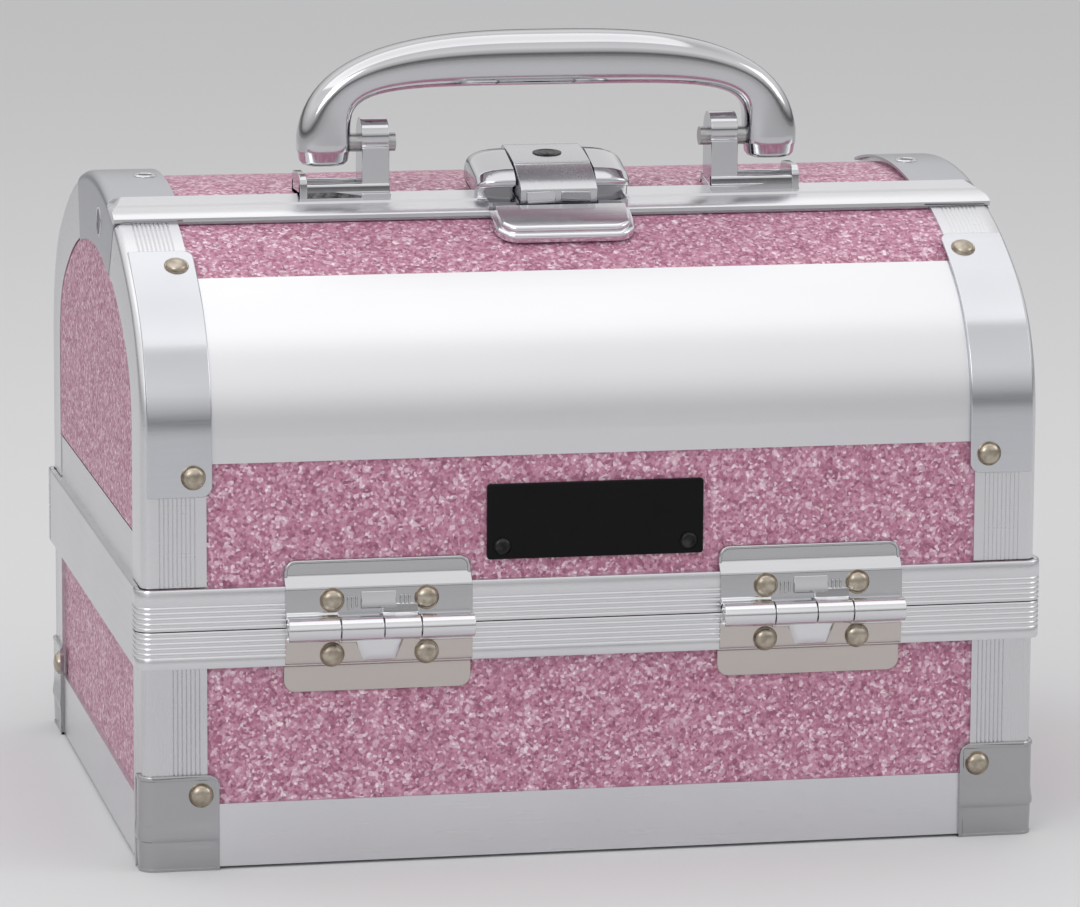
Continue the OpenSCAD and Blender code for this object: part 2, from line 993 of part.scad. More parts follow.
module rear_lid_rim() {
    color("silver")
        mirror([0, 1, 0])
            lid_rim();
}

module rear_lid_left_profile() {
    color("silver")
        rear_profile(-1);
}

module rear_lid_right_profile() {
    color("silver")
        rear_profile(1);
}

module rear_lid_left_bracket() {
    color("gainsboro")
        mirror([0, 1, 0])
            arch_bracket(-1);
}

module rear_lid_right_bracket() {
    color("gainsboro")
        mirror([0, 1, 0])
            arch_bracket(1);
}

// The plate over a top corner, behind the strip and down the end face
module top_plate(side) {
    difference() {
        union() {
            at_end(side, half_w - arch_bracket_w, half_w + bracket_t)
                intersection() {
                    layer(-bracket_t, 0, spring_z);
                    behind(strip_back);
                    before_ray(-top_plate_a);
                }
            at_end(side, half_w, half_w + bracket_t)
                intersection() {
                    layer(-bracket_t, top_plate_leg, spring_z);
                    behind_seam(move_gap / 2);
                    before_ray(-top_plate_a);
                }
        }
        on_crown(side * arch_rivet_x, 0, bracket_t)
            rivet_hole(bracket_t);
    }
}

module top_left_plate() {
    color("silver")
        top_plate(-1);
}

module top_right_plate() {
    color("silver")
        top_plate(1);
}

module rear_lid_rivets() {
    color("tan") {
        mirror([0, 1, 0])
            arch_rivets();
        for (side = [-1, 1])
            on_crown(side * arch_rivet_x, 0, bracket_t)
                rivet(rivet_r, rivet_h, bracket_t);
    }
}

// What a fitting on the rear lid has to be cut to sit on
module lid_below(half_length) {
    along_x(-half_length, half_length)
        union() {
            outline(skin_t, spring_z);
            intersection() {
                outline(-strip_proud, spring_z);
                mirror([1, 0])
                    behind(-strip_back);
            }
        }
}

// ---- Handle ----

// A cast bracket: a base under the handle's leg and a post beside it
module handle_bracket(side) {
    mirror([side > 0 ? 0 : 1, 0, 0])
        difference() {
            union() {
                block(post_in, foot_out, handle_y - foot_d / 2, handle_y + foot_d / 2,
                    spring_z + past, foot_top);
                block(post_in, post_out, handle_y - post_d / 2, handle_y + post_d / 2,
                    spring_z + past, handle_z);
                translate([post_in, handle_y, handle_z])
                    rotate([0, 90, 0])
                        cylinder(r = post_d / 2, h = post_w);
            }
            lid_below(half_w);
            translate([post_in - 1, handle_y, handle_z])
                rotate([0, 90, 0])
                    cylinder(r = handle_pin_r, h = post_w + 2);
        }
}

module left_handle_bracket() {
    color("gainsboro")
        handle_bracket(-1);
}

module right_handle_bracket() {
    color("gainsboro")
        handle_bracket(1);
}

module handle_pins() {
    pin_l = handle_leg_x + 3 - post_in;
    color("gray")
        for (side = [0, 1])
            mirror([side, 0, 0])
                translate([post_in, handle_y, handle_z])
                    rotate([0, 90, 0])
                        cylinder(r = handle_pin_r, h = pin_l);
}

// The bar's cross-section, drawn in by a shrink: x across the bar, y through its depth
module bar_section(shrink) {
    flat = bar_d - bar_t;
    for (end = [-1, 1])
        translate([0, end * flat / 2])
            circle(r = bar_t / 2 - shrink);
    square([bar_t - 2 * shrink, flat], center = true);
}

// A leg: its rounded foot about the pin, and the bend up to the grip
module handle_leg() {
    translate([0, 0, handle_z])
        rotate([90, 0, 0])
            translate([corner_x, 0, 0])
                rotate_extrude(angle = 90 - handle_turn + bend_overlap)
                    translate([handle_corner_r, 0])
                        bar_section(bend_step);
    translate([handle_leg_x - bar_t / 2, 0, handle_z])
        rotate([0, 90, 0])
            cylinder(r = bar_d / 2 + foot_swell, h = bar_t);
}

module handle() {
    color("white")
        translate([0, handle_y, 0])
            difference() {
                union() {
                    translate([0, 0, grip_z])
                        rotate([90, 0, 0])
                            rotate([0, 0, 90 - handle_turn])
                                rotate_extrude(angle = 2 * handle_turn, $fn = 180)
                                    translate([handle_arch_r, 0])
                                        bar_section(0);
                    for (side = [0, 1])
                        mirror([side, 0, 0])
                            handle_leg();
                }
                for (side = [0, 1])
                    mirror([side, 0, 0])
                        translate([handle_leg_x - bar_t / 2 - 1, 0, handle_z])
                            rotate([0, 90, 0])
                                cylinder(r = handle_pin_r + bore_gap, h = bar_t / 2 + 4.5);
            }
}

// ---- Latch ----

module latch_body() {
    inner = lever_w / 2 + move_gap;
    outer = latch_w / 2;
    pocket = trunnion_l + move_gap;
    color("lightgray")
        difference() {
            on_latch() {
                for (side = [0, 1])
                    mirror([side, 0, 0]) {
                        block(inner, outer, -shoulder_fore, latch_back, -2, latch_h - 2);
                        block(inner, outer - 2, -shoulder_fore + 3, latch_back, latch_h - 2, latch_h);
                    }
                block(-outer, outer, -shoulder_fore, latch_back, -2, latch_floor);
            }
            lid_below(latch_w);
            on_latch()
                for (side = [0, 1])
                    mirror([side, 0, 0])
                        translate([inner - 1, lever_pivot_y, lever_pivot_z])
                            rotate([0, 90, 0])
                                cylinder(r = trunnion_r + bore_gap, h = pocket + 1);
        }
    // The wings of the base plate, level with the keeper
    color("lightgray")
        along_x(-keeper_w / 2, keeper_w / 2)
            intersection() {
                layer(-latch_plate_t - strip_proud, -strip_proud, spring_z);
                behind_seam(move_gap / 2);
                mirror([1, 0])
                    behind(-(latch_y - shoulder_fore + 1));
            }
}

// The lever's side view: y forward is negative, and its nose ends at the seam
module lever_side() {
    nose_top = latch_h - lever_nose;
    nose_low = latch_plate_t + strip_proud + move_gap;
    deck_low = lever_pivot_z - deck_drop;
    slope_y = lever_step_y - lever_step_l;
    translate([lever_pivot_y, lever_pivot_z])
        circle(r = lever_r);
    polygon([
        [lever_pivot_y, deck_low],
        [lever_pivot_y, latch_h],
        [lever_step_y, latch_h],
        [slope_y, nose_top],
        [lever_front + 2, nose_top],
        [lever_front + 0.4, nose_top - 1],
        [lever_front, nose_low],
        [slope_y, nose_low],
        [lever_step_y, deck_low]
    ]);
}

module latch_lever() {
    color("white")
        on_latch() {
            difference() {
                along_x(-lever_w / 2, lever_w / 2)
                    lever_side();
                translate([0, barrel_y, 0])
                    cylinder(r = barrel_r + bore_gap, h = 2 * latch_h);
            }
            for (side = [0, 1])
                mirror([side, 0, 0])
                    translate([lever_w / 2 - 1, lever_pivot_y, lever_pivot_z])
                        rotate([0, 90, 0])
                            cylinder(r = trunnion_r, h = trunnion_l + 1);
        }
}

module lock_barrel() {
    top = latch_h - 0.4;
    low = lever_pivot_z - deck_drop;
    color("dimgray")
        on_latch()
            translate([0, barrel_y, low])
                difference() {
                    cylinder(r = barrel_r, h = top - low);
                    translate([-0.5, -1.8, top - low - 1.5])
                        cube([1, 3.6, 3]);
                }
}

// ---- Trays ----

// An open tray at the front, with upright dividers and bores for its arms
module tray() {
    d = tray_out - tray_mid;
    inner_w = 2 * (tray_half_w - tray_t);
    cell_w = (inner_w - (tray_cells - 1) * tray_t) / tray_cells;
    difference() {
        block(-tray_half_w, tray_half_w, -tray_out, -tray_mid, tray_z, tray_z + tray_h);
        for (k = [0 : tray_cells - 1])
            translate([-inner_w / 2 + k * (cell_w + tray_t), -tray_out + tray_t, tray_z + tray_t])
                cube([cell_w, d - 2 * tray_t, tray_h]);
        for (side = [-1, 1]) {
            tray_bore(side, top_y, bore_gap);
            tray_bore(side, top_y - arm_pitch, open_gap);
        }
    }
}

module tray_bore(side, y, gap) {
    translate([side * (tray_half_w + 1), -y, top_pivot_z])
        rotate([0, -side * 90, 0])
            cylinder(r = pivot_r + gap, h = tray_t + 2);
}

// Both ends' arms at one pivot: a flat bar with a pin to the box and a pin to the tray
module tray_arms(inner) {
    y = pivot_y - inner * arm_pitch;
    dir = [sin(arm_lean), cos(arm_lean)];
    for (side = [0, 1])
        mirror([side, 0, 0]) {
            translate([arm_x, -y, pivot_z])
                rotate([-arm_lean, 0, 0]) {
                    rotate([0, 90, 0])
                        cylinder(r = arm_w / 2, h = arm_t);
                    translate([0, 0, arm_l])
                        rotate([0, 90, 0])
                            cylinder(r = arm_w / 2, h = arm_t);
                    translate([0, -arm_w / 2, 0])
                        cube([arm_t, arm_w, arm_l]);
                }
            translate([arm_x + arm_t, -y, pivot_z])
                rotate([0, 90, 0]) {
                    cylinder(r = pivot_r + 1.5, h = end_inner_x - arm_x - arm_t - move_gap);
                    cylinder(r = pivot_r, h = end_inner_x - arm_x - arm_t + 2);
                }
            translate([arm_x + 0.5, -y + arm_l * dir[0], pivot_z + arm_l * dir[1]])
                rotate([0, -90, 0])
                    cylinder(r = pivot_r, h = arm_x + 0.5 - tray_half_w + tray_t);
        }
}

module front_tray() {
    color("darkslategray")
        tray();
}

module front_tray_fore_arms() {
    color("gray")
        tray_arms(0);
}

module front_tray_aft_arms() {
    color("gray")
        tray_arms(1);
}

module rear_tray() {
    color("darkslategray")
        mirror([0, 1, 0])
            tray();
}

module rear_tray_fore_arms() {
    color("gray")
        mirror([0, 1, 0])
            tray_arms(0);
}

module rear_tray_aft_arms() {
    color("gray")
        mirror([0, 1, 0])
            tray_arms(1);
}

// ---- Output ----

base_floor();
floor_pad();
base_front_panel();
base_rear_panel();
base_left_panel();
base_right_panel();
left_gable();
right_gable();
bottom_rails();
corner_posts();
base_rim();
left_end_rail();
right_end_rail();
corner_brackets();
base_rivets();
front_left_hinge_base_leaf();
front_right_hinge_base_leaf();
rear_left_hinge_base_leaf();
rear_right_hinge_base_leaf();
hinge_pins();
front_lid_panel();
front_lid_sheet();
front_lid_rim();
front_lid_left_profile();
front_lid_right_profile();
front_lid_left_bracket();
front_lid_right_bracket();
front_lid_edge_rail();
name_plate();
front_lid_rivets();
plate_rivets();
latch_keeper();
front_left_hinge_lid_leaf();
front_right_hinge_lid_leaf();
rear_lid_panel();
top_strip();
rear_lid_rim();
rear_lid_left_profile();
rear_lid_right_profile();
rear_lid_left_bracket();
rear_lid_right_bracket();
top_left_plate();
top_right_plate();
rear_lid_rivets();
rear_left_hinge_lid_leaf();
rear_right_hinge_lid_leaf();
left_handle_bracket();
right_handle_bracket();
handle_pins();
latch_body();
handle();
latch_lever();
lock_barrel();
front_tray();
front_tray_fore_arms();
front_tray_aft_arms();
rear_tray();
rear_tray_fore_arms();
rear_tray_aft_arms();
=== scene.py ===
"""Looks of an arched vanity case with aluminium edges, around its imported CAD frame.

Lengths are millimetres until a piece is finished, and metres after that. X runs along the
case, -Y is the front and Z = 0 is the face that the case stands on.
"""

import logging
import math
from dataclasses import dataclass
from enum import Enum
from typing import Iterable, Sequence

import bmesh
import bpy
from mathutils import Matrix, Vector


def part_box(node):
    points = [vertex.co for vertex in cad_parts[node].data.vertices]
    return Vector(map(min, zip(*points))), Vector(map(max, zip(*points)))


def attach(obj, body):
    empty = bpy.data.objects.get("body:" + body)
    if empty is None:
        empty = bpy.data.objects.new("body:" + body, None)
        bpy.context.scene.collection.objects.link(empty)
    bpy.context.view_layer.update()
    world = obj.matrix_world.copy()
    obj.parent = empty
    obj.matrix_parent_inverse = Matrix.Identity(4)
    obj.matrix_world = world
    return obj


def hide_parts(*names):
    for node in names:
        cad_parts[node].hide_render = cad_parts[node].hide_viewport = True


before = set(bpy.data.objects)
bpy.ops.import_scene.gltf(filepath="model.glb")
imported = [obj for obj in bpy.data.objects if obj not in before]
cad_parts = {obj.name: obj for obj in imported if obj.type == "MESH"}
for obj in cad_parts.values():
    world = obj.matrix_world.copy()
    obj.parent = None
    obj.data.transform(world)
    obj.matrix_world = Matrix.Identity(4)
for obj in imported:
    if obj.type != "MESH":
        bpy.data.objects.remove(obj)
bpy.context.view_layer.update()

LOG = logging.getLogger("vanity_case")
MM = 0.001
SOFTEN_DEG = 35.0
PHOTO_WIDTH = 1080
HINGE_X = 58.0
STRIP_W = 14.5
SHEET = 0.8

Colour = tuple[float, float, float]
Point = tuple[float, float]


class Body(Enum):
    """The rigid bodies of the case that new pieces ride on."""

    BOX = "box"
    FRONT_LID = "front_lid"
    REAR_LID = "rear_lid"
    HANDLE = "handle"
    LATCH_LEVER = "latch_lever"
    LOCK_BARREL = "lock_barrel"


class Side(Enum):
    """The end of the case that a piece is on."""

    LEFT = -1
    RIGHT = 1


class Front(Enum):
    """Whether a piece is at the front or mirrored to the rear."""

    FRONT = 1
    REAR = -1


LIDS = ((Front.FRONT, Body.FRONT_LID), (Front.REAR, Body.REAR_LID))


class Brush(Enum):
    """Direction in which a metal surface is brushed or drawn."""

    ALONG_X = (0.02, 1.0, 1.0)
    ALONG_Y = (1.0, 0.02, 1.0)
    ALONG_Z = (1.0, 1.0, 0.02)
    NONE = (1.0, 1.0, 1.0)


# ---- Materials ----


class Graph:
    """The node graph of one material, with short ways to add what the finishes need."""

    def __init__(self, material: bpy.types.Material) -> None:
        """Empties the material's graph and starts it with a shader.

        Args:
            material: The material whose nodes are made.
        """
        material.use_nodes = True
        self.tree = material.node_tree
        self.tree.nodes.clear()
        self.shader = self.tree.nodes.new("ShaderNodeBsdfPrincipled")
        output = self.tree.nodes.new("ShaderNodeOutputMaterial")
        self.join(self.shader.outputs["BSDF"], output.inputs["Surface"])
        self.coords = self.tree.nodes.new("ShaderNodeTexCoord").outputs["Object"]

    def join(self, source: bpy.types.NodeSocket, target: bpy.types.NodeSocket) -> None:
        """Links two sockets."""
        self.tree.links.new(source, target)

    def stretched(self, scale: Sequence[float]) -> bpy.types.NodeSocket:
        """Object coordinates drawn out along a direction.

        Args:
            scale: Factor along each axis.

        Returns:
            The stretched coordinates.
        """
        mapping = self.tree.nodes.new("ShaderNodeMapping")
        mapping.inputs["Scale"].default_value = scale
        self.join(self.coords, mapping.inputs["Vector"])
        return mapping.outputs["Vector"]

    def noise(self, grain: float, detail: float,
              coords: bpy.types.NodeSocket | None = None) -> bpy.types.NodeSocket:
        """Soft noise.

        Args:
            grain: Size of its features in millimetres.
            detail: Number of finer layers.
            coords: Where it is read, or None for plain object coordinates.

        Returns:
            The noise, from 0 to 1.
        """
        node = self.tree.nodes.new("ShaderNodeTexNoise")
        node.inputs["Scale"].default_value = 1.0 / (grain * MM)
        node.inputs["Detail"].default_value = detail
        self.join(coords or self.coords, node.inputs["Vector"])
        return node.outputs["Fac"]

    def cells(self, grain: float) -> bpy.types.NodeSocket:
        """Flakes, each with an even value of its own.

        Args:
            grain: Size of a flake in millimetres.

        Returns:
            The value of each flake, spread evenly from 0 to 1.
        """
        node = self.tree.nodes.new("ShaderNodeTexVoronoi")
        node.inputs["Scale"].default_value = 1.0 / (grain * MM)
        self.join(self.coords, node.inputs["Vector"])
        split = self.tree.nodes.new("ShaderNodeSeparateColor")
        self.join(node.outputs["Color"], split.inputs["Color"])
        return split.outputs["Red"]

    def ramp(self, value: bpy.types.NodeSocket,
             stops: Sequence[tuple[float, Colour]]) -> bpy.types.NodeSocket:
        """Turns a value into a colour.

        Args:
            value: What is looked up.
            stops: Places from 0 to 1 with their colours.

        Returns:
            The colour.
        """
        node = self.tree.nodes.new("ShaderNodeValToRGB")
        elements = node.color_ramp.elements
        while len(elements) < len(stops):
            elements.new(0.5)
        for element, (place, colour) in zip(elements, stops):
            element.position = place
            element.color = (*colour, 1.0)
        self.join(value, node.inputs["Fac"])
        return node.outputs["Color"]

    def range(self, value: bpy.types.NodeSocket, low: float,
              high: float) -> bpy.types.NodeSocket:
        """Spreads a value from 0 to 1 over low to high.

        Args:
            value: The value.
            low: What 0 becomes.
            high: What 1 becomes.

        Returns:
            The new value.
        """
        node = self.tree.nodes.new("ShaderNodeMapRange")
        node.inputs["To Min"].default_value = low
        node.inputs["To Max"].default_value = high
        self.join(value, node.inputs["Value"])
        return node.outputs["Result"]

    def mix(self, share: bpy.types.NodeSocket | float, first: bpy.types.NodeSocket | Colour,
            second: bpy.types.NodeSocket | Colour) -> bpy.types.NodeSocket:
        """Mixes two colours.

        Args:
            share: How much of the second one shows.
            first: Colour or socket at share 0.
            second: Colour or socket at share 1.

        Returns:
            The mixed colour.
        """
        node = self.tree.nodes.new("ShaderNodeMix")
        node.data_type = "RGBA"
        sockets = {"Factor_Float": share, "A_Color": first, "B_Color": second}
        for socket in node.inputs:
            value = sockets.get(socket.identifier)
            if value is None:
                continue
            if isinstance(value, bpy.types.NodeSocket):
                self.join(value, socket)
            else:
                socket.default_value = (*value, 1.0) if isinstance(value, tuple) else value
        return next(out for out in node.outputs if out.identifier == "Result_Color")

    def bump(self, height: bpy.types.NodeSocket, depth: float, strength: float) -> None:
        """Roughens the surface.

        Args:
            height: The pattern.
            depth: Its depth in millimetres.
            strength: How much of it is used.
        """
        node = self.tree.nodes.new("ShaderNodeBump")
        node.inputs["Distance"].default_value = depth * MM
        node.inputs["Strength"].default_value = strength
        self.join(height, node.inputs["Height"])
        self.join(node.outputs["Normal"], self.shader.inputs["Normal"])

    def set(self, **values: float) -> None:
        """Sets sockets of the shader, an underscore in a name standing for a space."""
        for name, value in values.items():
            self.shader.inputs[name.replace("_", " ")].default_value = value


@dataclass(frozen=True)
class Finish:
    """What a surface is made of. Each kind of finish says how its nodes are made."""

    name: str
    slot: str

    def material(self) -> bpy.types.Material:
        """The finish's material, made once.

        Returns:
            The material.
        """
        found = bpy.data.materials.get(self.name)
        if found is None:
            found = bpy.data.materials.new(self.name)
            self.dress(Graph(found))
        return found

    def dress(self, graph: Graph) -> None:
        """Makes the nodes of the finish."""
        raise NotImplementedError


@dataclass(frozen=True)
class Glitter(Finish):
    """Laminate with small flakes under a clear film."""

    deep: Colour = (0.27, 0.085, 0.145)
    base: Colour = (0.47, 0.185, 0.285)
    light: Colour = (0.62, 0.33, 0.44)
    pale: Colour = (0.95, 0.80, 0.87)
    flake: float = 0.75

    def dress(self, graph: Graph) -> None:
        """Flakes of four tones, patches in which the pale ones crowd, and a slight relief.

        Args:
            graph: The graph that is filled.
        """
        flakes = graph.cells(self.flake)
        coarse = graph.cells(self.flake * 1.8)
        fine = graph.ramp(flakes, [(0.05, self.deep), (0.40, self.base), (0.80, self.light),
                                   (0.98, self.pale)])
        broad = graph.ramp(coarse, [(0.0, self.deep), (0.35, self.base), (0.86, self.light),
                                    (0.97, self.pale)])
        patches = graph.range(graph.noise(3.0, 2.0), 0.0, 0.75)
        graph.join(graph.mix(patches, fine, broad), graph.shader.inputs["Base Color"])
        graph.join(graph.range(flakes, 0.6, 0.3), graph.shader.inputs["Roughness"])
        graph.bump(flakes, 0.12, 0.6)
        graph.set(Metallic=0.1)


@dataclass(frozen=True)
class Metal(Finish):
    """Bare metal, brushed, drawn or polished."""

    base: Colour = (0.82, 0.82, 0.83)
    shade: Colour = (0.70, 0.70, 0.72)
    rough: float = 0.3
    rough_spread: float = 0.08
    grain: float = 0.5
    depth: float = 0.01
    brush: Brush = Brush.ALONG_X

    def dress(self, graph: Graph) -> None:
        """Fine lines along the brushing, and a soft change of tone.

        Args:
            graph: The graph that is filled.
        """
        lines = graph.noise(self.grain, 4.0, graph.stretched(self.brush.value))
        cloud = graph.noise(28.0, 2.0)
        graph.join(graph.mix(graph.range(cloud, 0.0, 0.7), self.base, self.shade),
                   graph.shader.inputs["Base Color"])
        low = self.rough - self.rough_spread
        high = self.rough + self.rough_spread
        graph.join(graph.range(lines, low, high), graph.shader.inputs["Roughness"])
        graph.bump(lines, self.depth, 0.6)
        graph.set(Metallic=1.0)


@dataclass(frozen=True)
class Aged(Finish):
    """Dull metal with darker hollows, as on old rivets."""

    base: Colour = (0.53, 0.47, 0.39)
    dark: Colour = (0.33, 0.28, 0.22)
    rough: float = 0.24
    blotch: float = 2.2

    def dress(self, graph: Graph) -> None:
        """Blotches of tarnish over metal.

        Args:
            graph: The graph that is filled.
        """
        spots = graph.noise(self.blotch, 3.0)
        graph.join(graph.ramp(spots, [(0.30, self.dark), (0.62, self.base)]),
                   graph.shader.inputs["Base Color"])
        graph.join(graph.range(spots, self.rough + 0.12, self.rough),
                   graph.shader.inputs["Roughness"])
        graph.bump(spots, 0.03, 0.4)
        graph.set(Metallic=0.95)


@dataclass(frozen=True)
class Moulded(Finish):
    """Plastic, cloth or board with an even grain."""

    base: Colour = (0.02, 0.02, 0.022)
    light: Colour = (0.05, 0.05, 0.055)
    rough: float = 0.55
    grain: float = 0.5
    depth: float = 0.05
    sheen: float = 0.0
    specular: float = 0.5

    def dress(self, graph: Graph) -> None:
        """Grain in colour, gloss and relief.

        Args:
            graph: The graph that is filled.
        """
        grain = graph.noise(self.grain, 3.0)
        graph.join(graph.mix(graph.range(grain, 0.0, 1.0), self.base, self.light),
                   graph.shader.inputs["Base Color"])
        graph.join(graph.range(grain, self.rough - 0.08, self.rough + 0.08),
                   graph.shader.inputs["Roughness"])
        graph.bump(grain, self.depth, 0.5)
        graph.set(Sheen_Weight=self.sheen, Specular_IOR_Level=self.specular)


PINK = Glitter("pink_glitter_laminate", "glitter_board")
BOARD = Moulded("lined_board", "board", base=(0.03, 0.03, 0.032), rough=0.7, depth=0.04)
LINING = Moulded("flocked_lining", "lining", rough=0.85, grain=0.3, depth=0.08, sheen=0.3)
TRAY = Moulded("tray_plastic_grain", "tray_plastic", rough=0.45, grain=0.4, depth=0.03)
PLATE = Moulded("gloss_black_plate", "black_plate", base=(0.003, 0.003, 0.0035),
                light=(0.006, 0.006, 0.007), rough=0.24, grain=6.0, depth=0.004,
                specular=0.12)
EXTRUDED = Metal("extruded_aluminium", "aluminium", base=(0.76, 0.76, 0.78),
                 shade=(0.68, 0.68, 0.70), rough=0.30)
EXTRUDED_UP = Metal("upright_extrusion", "aluminium", base=(0.70, 0.70, 0.72),
                    shade=(0.60, 0.60, 0.62), rough=0.26, brush=Brush.ALONG_Z)
EXTRUDED_END = Metal("end_extrusion", "aluminium", base=(0.72, 0.72, 0.74),
                     shade=(0.64, 0.64, 0.66), rough=0.32, brush=Brush.ALONG_Y)
SATIN = Metal("satin_sheet_aluminium", "satin_sheet", base=(0.80, 0.80, 0.82),
              shade=(0.77, 0.77, 0.79), rough=0.38, rough_spread=0.03, depth=0.003)
CORNER = Metal("smooth_corner_aluminium", "aluminium", base=(0.52, 0.525, 0.55),
               shade=(0.47, 0.475, 0.50), rough=0.34, rough_spread=0.04, depth=0.003,
               brush=Brush.ALONG_Y)
CAST = Metal("satin_cast_lever", "chrome", base=(0.60, 0.60, 0.62), shade=(0.52, 0.52, 0.54),
             rough=0.26, rough_spread=0.05, grain=1.5, depth=0.004, brush=Brush.NONE)
PLATED = Metal("plated_hinge_steel", "plated_steel", base=(0.51, 0.51, 0.525),
               shade=(0.47, 0.47, 0.48), rough=0.17, rough_spread=0.06)
# The leaves' plated steel made much lighter for the knuckles and the keeper: painted highlight.
LIT_PLATED_STEEL = Metal("plated_steel_painted_highlight", "plated_steel", base=(0.80, 0.80, 0.82),
                shade=(0.68, 0.68, 0.70), rough=0.16, rough_spread=0.05)
WARM = Metal("nickel_hinge_steel", "plated_steel", base=(0.60, 0.55, 0.525),
             shade=(0.54, 0.49, 0.46), rough=0.24, rough_spread=0.05)
CHROME = Metal("polished_chrome", "chrome", base=(0.62, 0.62, 0.64), shade=(0.56, 0.56, 0.58),
               rough=0.10, rough_spread=0.04, grain=2.0, depth=0.002, brush=Brush.NONE)
# Two tones of one pressed steel: the darker one on the box's bottom brackets is painted shade, the
# lighter one on the shoulder brackets is a painted highlight.
SHADED_BRACKET_STEEL = Metal("pressed_bracket_steel", "chrome", base=(0.46, 0.46, 0.475),
                shade=(0.38, 0.375, 0.38), rough=0.15, rough_spread=0.05, depth=0.004)
LIT_BRACKET_STEEL = Metal("shoulder_bracket_steel", "chrome", base=(0.66, 0.67, 0.70),
                 shade=(0.56, 0.57, 0.60), rough=0.20, rough_spread=0.06, depth=0.004)
STEEL = Metal("plain_steel", "steel", base=(0.50, 0.50, 0.50), shade=(0.42, 0.42, 0.42),
              rough=0.35, brush=Brush.NONE)
RIVET = Aged("aged_rivet_metal", "rivet_metal")
# Painted shade: near-black discs set in the eyelet and dimple bores stand for the shade of those
# hollows.
RECESS_SHADE = Aged("painted_recess_shade", "dark_steel", base=(0.07, 0.07, 0.085),
              dark=(0.05, 0.05, 0.06))
DARK = Aged("blackened_steel", "dark_steel", base=(0.05, 0.05, 0.05), dark=(0.015, 0.015, 0.015))


# ---- Mesh making ----


@dataclass(frozen=True)
class Place:
    """Where a new piece belongs: its body and the CAD nodes that it stands for."""

    body: Body
    stands_for: tuple[str, ...] = ()


def finish_piece(name: str, bm: bmesh.types.BMesh, finish: Finish, place: Place,
                 bevel: float = 0.0, sharp_deg: float = 32.0) -> None:
    """Turns a mesh in millimetres into a dressed piece that rides on its body.

    Args:
        name: The piece's name.
        bm: Its mesh, which is freed.
        finish: Its finish.
        place: Its body and the nodes that it replaces.
        bevel: Radius of its softened edges, or 0 for none.
        sharp_deg: Edges that turn by more than this angle stay sharp.
    """
    bmesh.ops.remove_doubles(bm, verts=bm.verts, dist=0.001)
    bmesh.ops.recalc_face_normals(bm, faces=bm.faces)
    bmesh.ops.scale(bm, verts=bm.verts, vec=(MM, MM, MM))
    mesh = bpy.data.meshes.new(name)
    bm.to_mesh(mesh)
    bm.free()
    mesh.shade_smooth()
    mesh.set_sharp_from_angle(angle=math.radians(sharp_deg))
    mesh.materials.append(finish.material())
    piece = bpy.data.objects.new(name, mesh)
    bpy.context.scene.collection.objects.link(piece)
    if bevel > 0:
        soften = piece.modifiers.new("soft_edges", "BEVEL")
        soften.width = bevel * MM
        soften.segments = 2
        soften.limit_method = "ANGLE"
        soften.angle_limit = math.radians(SOFTEN_DEG)
    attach(piece, place.body.value)
    if place.stands_for:
        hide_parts(*place.stands_for)
    LOG.info("%s: %d faces on %s", name, len(mesh.polygons), place.body.value)


def verts_of(geometry: Iterable) -> list[bmesh.types.BMVert]:
    """The vertices among some geometry."""
    return [item for item in geometry if isinstance(item, bmesh.types.BMVert)]


def edges_of(geometry: Iterable) -> list[bmesh.types.BMEdge]:
    """The edges among some geometry."""
    return [item for item in geometry if isinstance(item, bmesh.types.BMEdge)]


class Sweep:
    """A closed section drawn along straights and turns, as from an extruder's die."""

    def __init__(self, section: Sequence[Vector]) -> None:
        """Lays out the section as a loop of edges.

        Args:
            section: Its corners in order.
        """
        self.bm = bmesh.new()
        corners = [self.bm.verts.new(point) for point in section]
        self.edges = [self.bm.edges.new((corners[k - 1], corners[k]))
                      for k in range(len(corners))]

    def _extrude(self) -> list[bmesh.types.BMVert]:
        """Extrudes the leading loop in place.

        Returns:
            The vertices of the new leading loop.
        """
        made = bmesh.ops.extrude_edge_only(self.bm, edges=self.edges)["geom"]
        moved = verts_of(made)
        known = set(moved)
        self.edges = [edge for edge in edges_of(made) if known.issuperset(edge.verts)]
        return moved

    def run(self, offset: Sequence[float]) -> "Sweep":
        """Draws the section straight on by an offset."""
        bmesh.ops.translate(self.bm, verts=self._extrude(), vec=offset)
        return self

    def turn(self, centre: Sequence[float], axis: Sequence[float], degrees: float,
             steps: int) -> "Sweep":
        """Draws the section round an axis.

        Args:
            centre: A point of the axis.
            axis: Its direction.
            degrees: The angle, by the right-hand rule.
            steps: Number of steps.

        Returns:
            The sweep itself.
        """
        turn = Matrix.Rotation(math.radians(degrees / steps), 3, Vector(axis))
        for _ in range(steps):
            bmesh.ops.rotate(self.bm, verts=self._extrude(), cent=centre, matrix=turn)
        return self

    def close(self) -> bmesh.types.BMesh:
        """Caps both ends.

        Returns:
            The closed mesh.
        """
        cap_holes(self.bm)
        return self.bm


def cap_holes(bm: bmesh.types.BMesh) -> None:
    """Fills every open loop of a mesh."""
    open_edges = [edge for edge in bm.edges if len(edge.link_faces) < 2]
    bmesh.ops.holes_fill(bm, edges=open_edges, sides=0)


def cut(bm: bmesh.types.BMesh, point: Sequence[float], normal: Sequence[float]) -> None:
    """Cuts away what lies on the side that the normal points to, and closes the cut.

    Args:
        bm: The mesh that is cut.
        point: A point of the plane.
        normal: The plane's normal.
    """
    everything = [*bm.verts, *bm.edges, *bm.faces]
    bmesh.ops.bisect_plane(bm, geom=everything, plane_co=point, plane_no=normal,
                           clear_outer=True)
    cap_holes(bm)


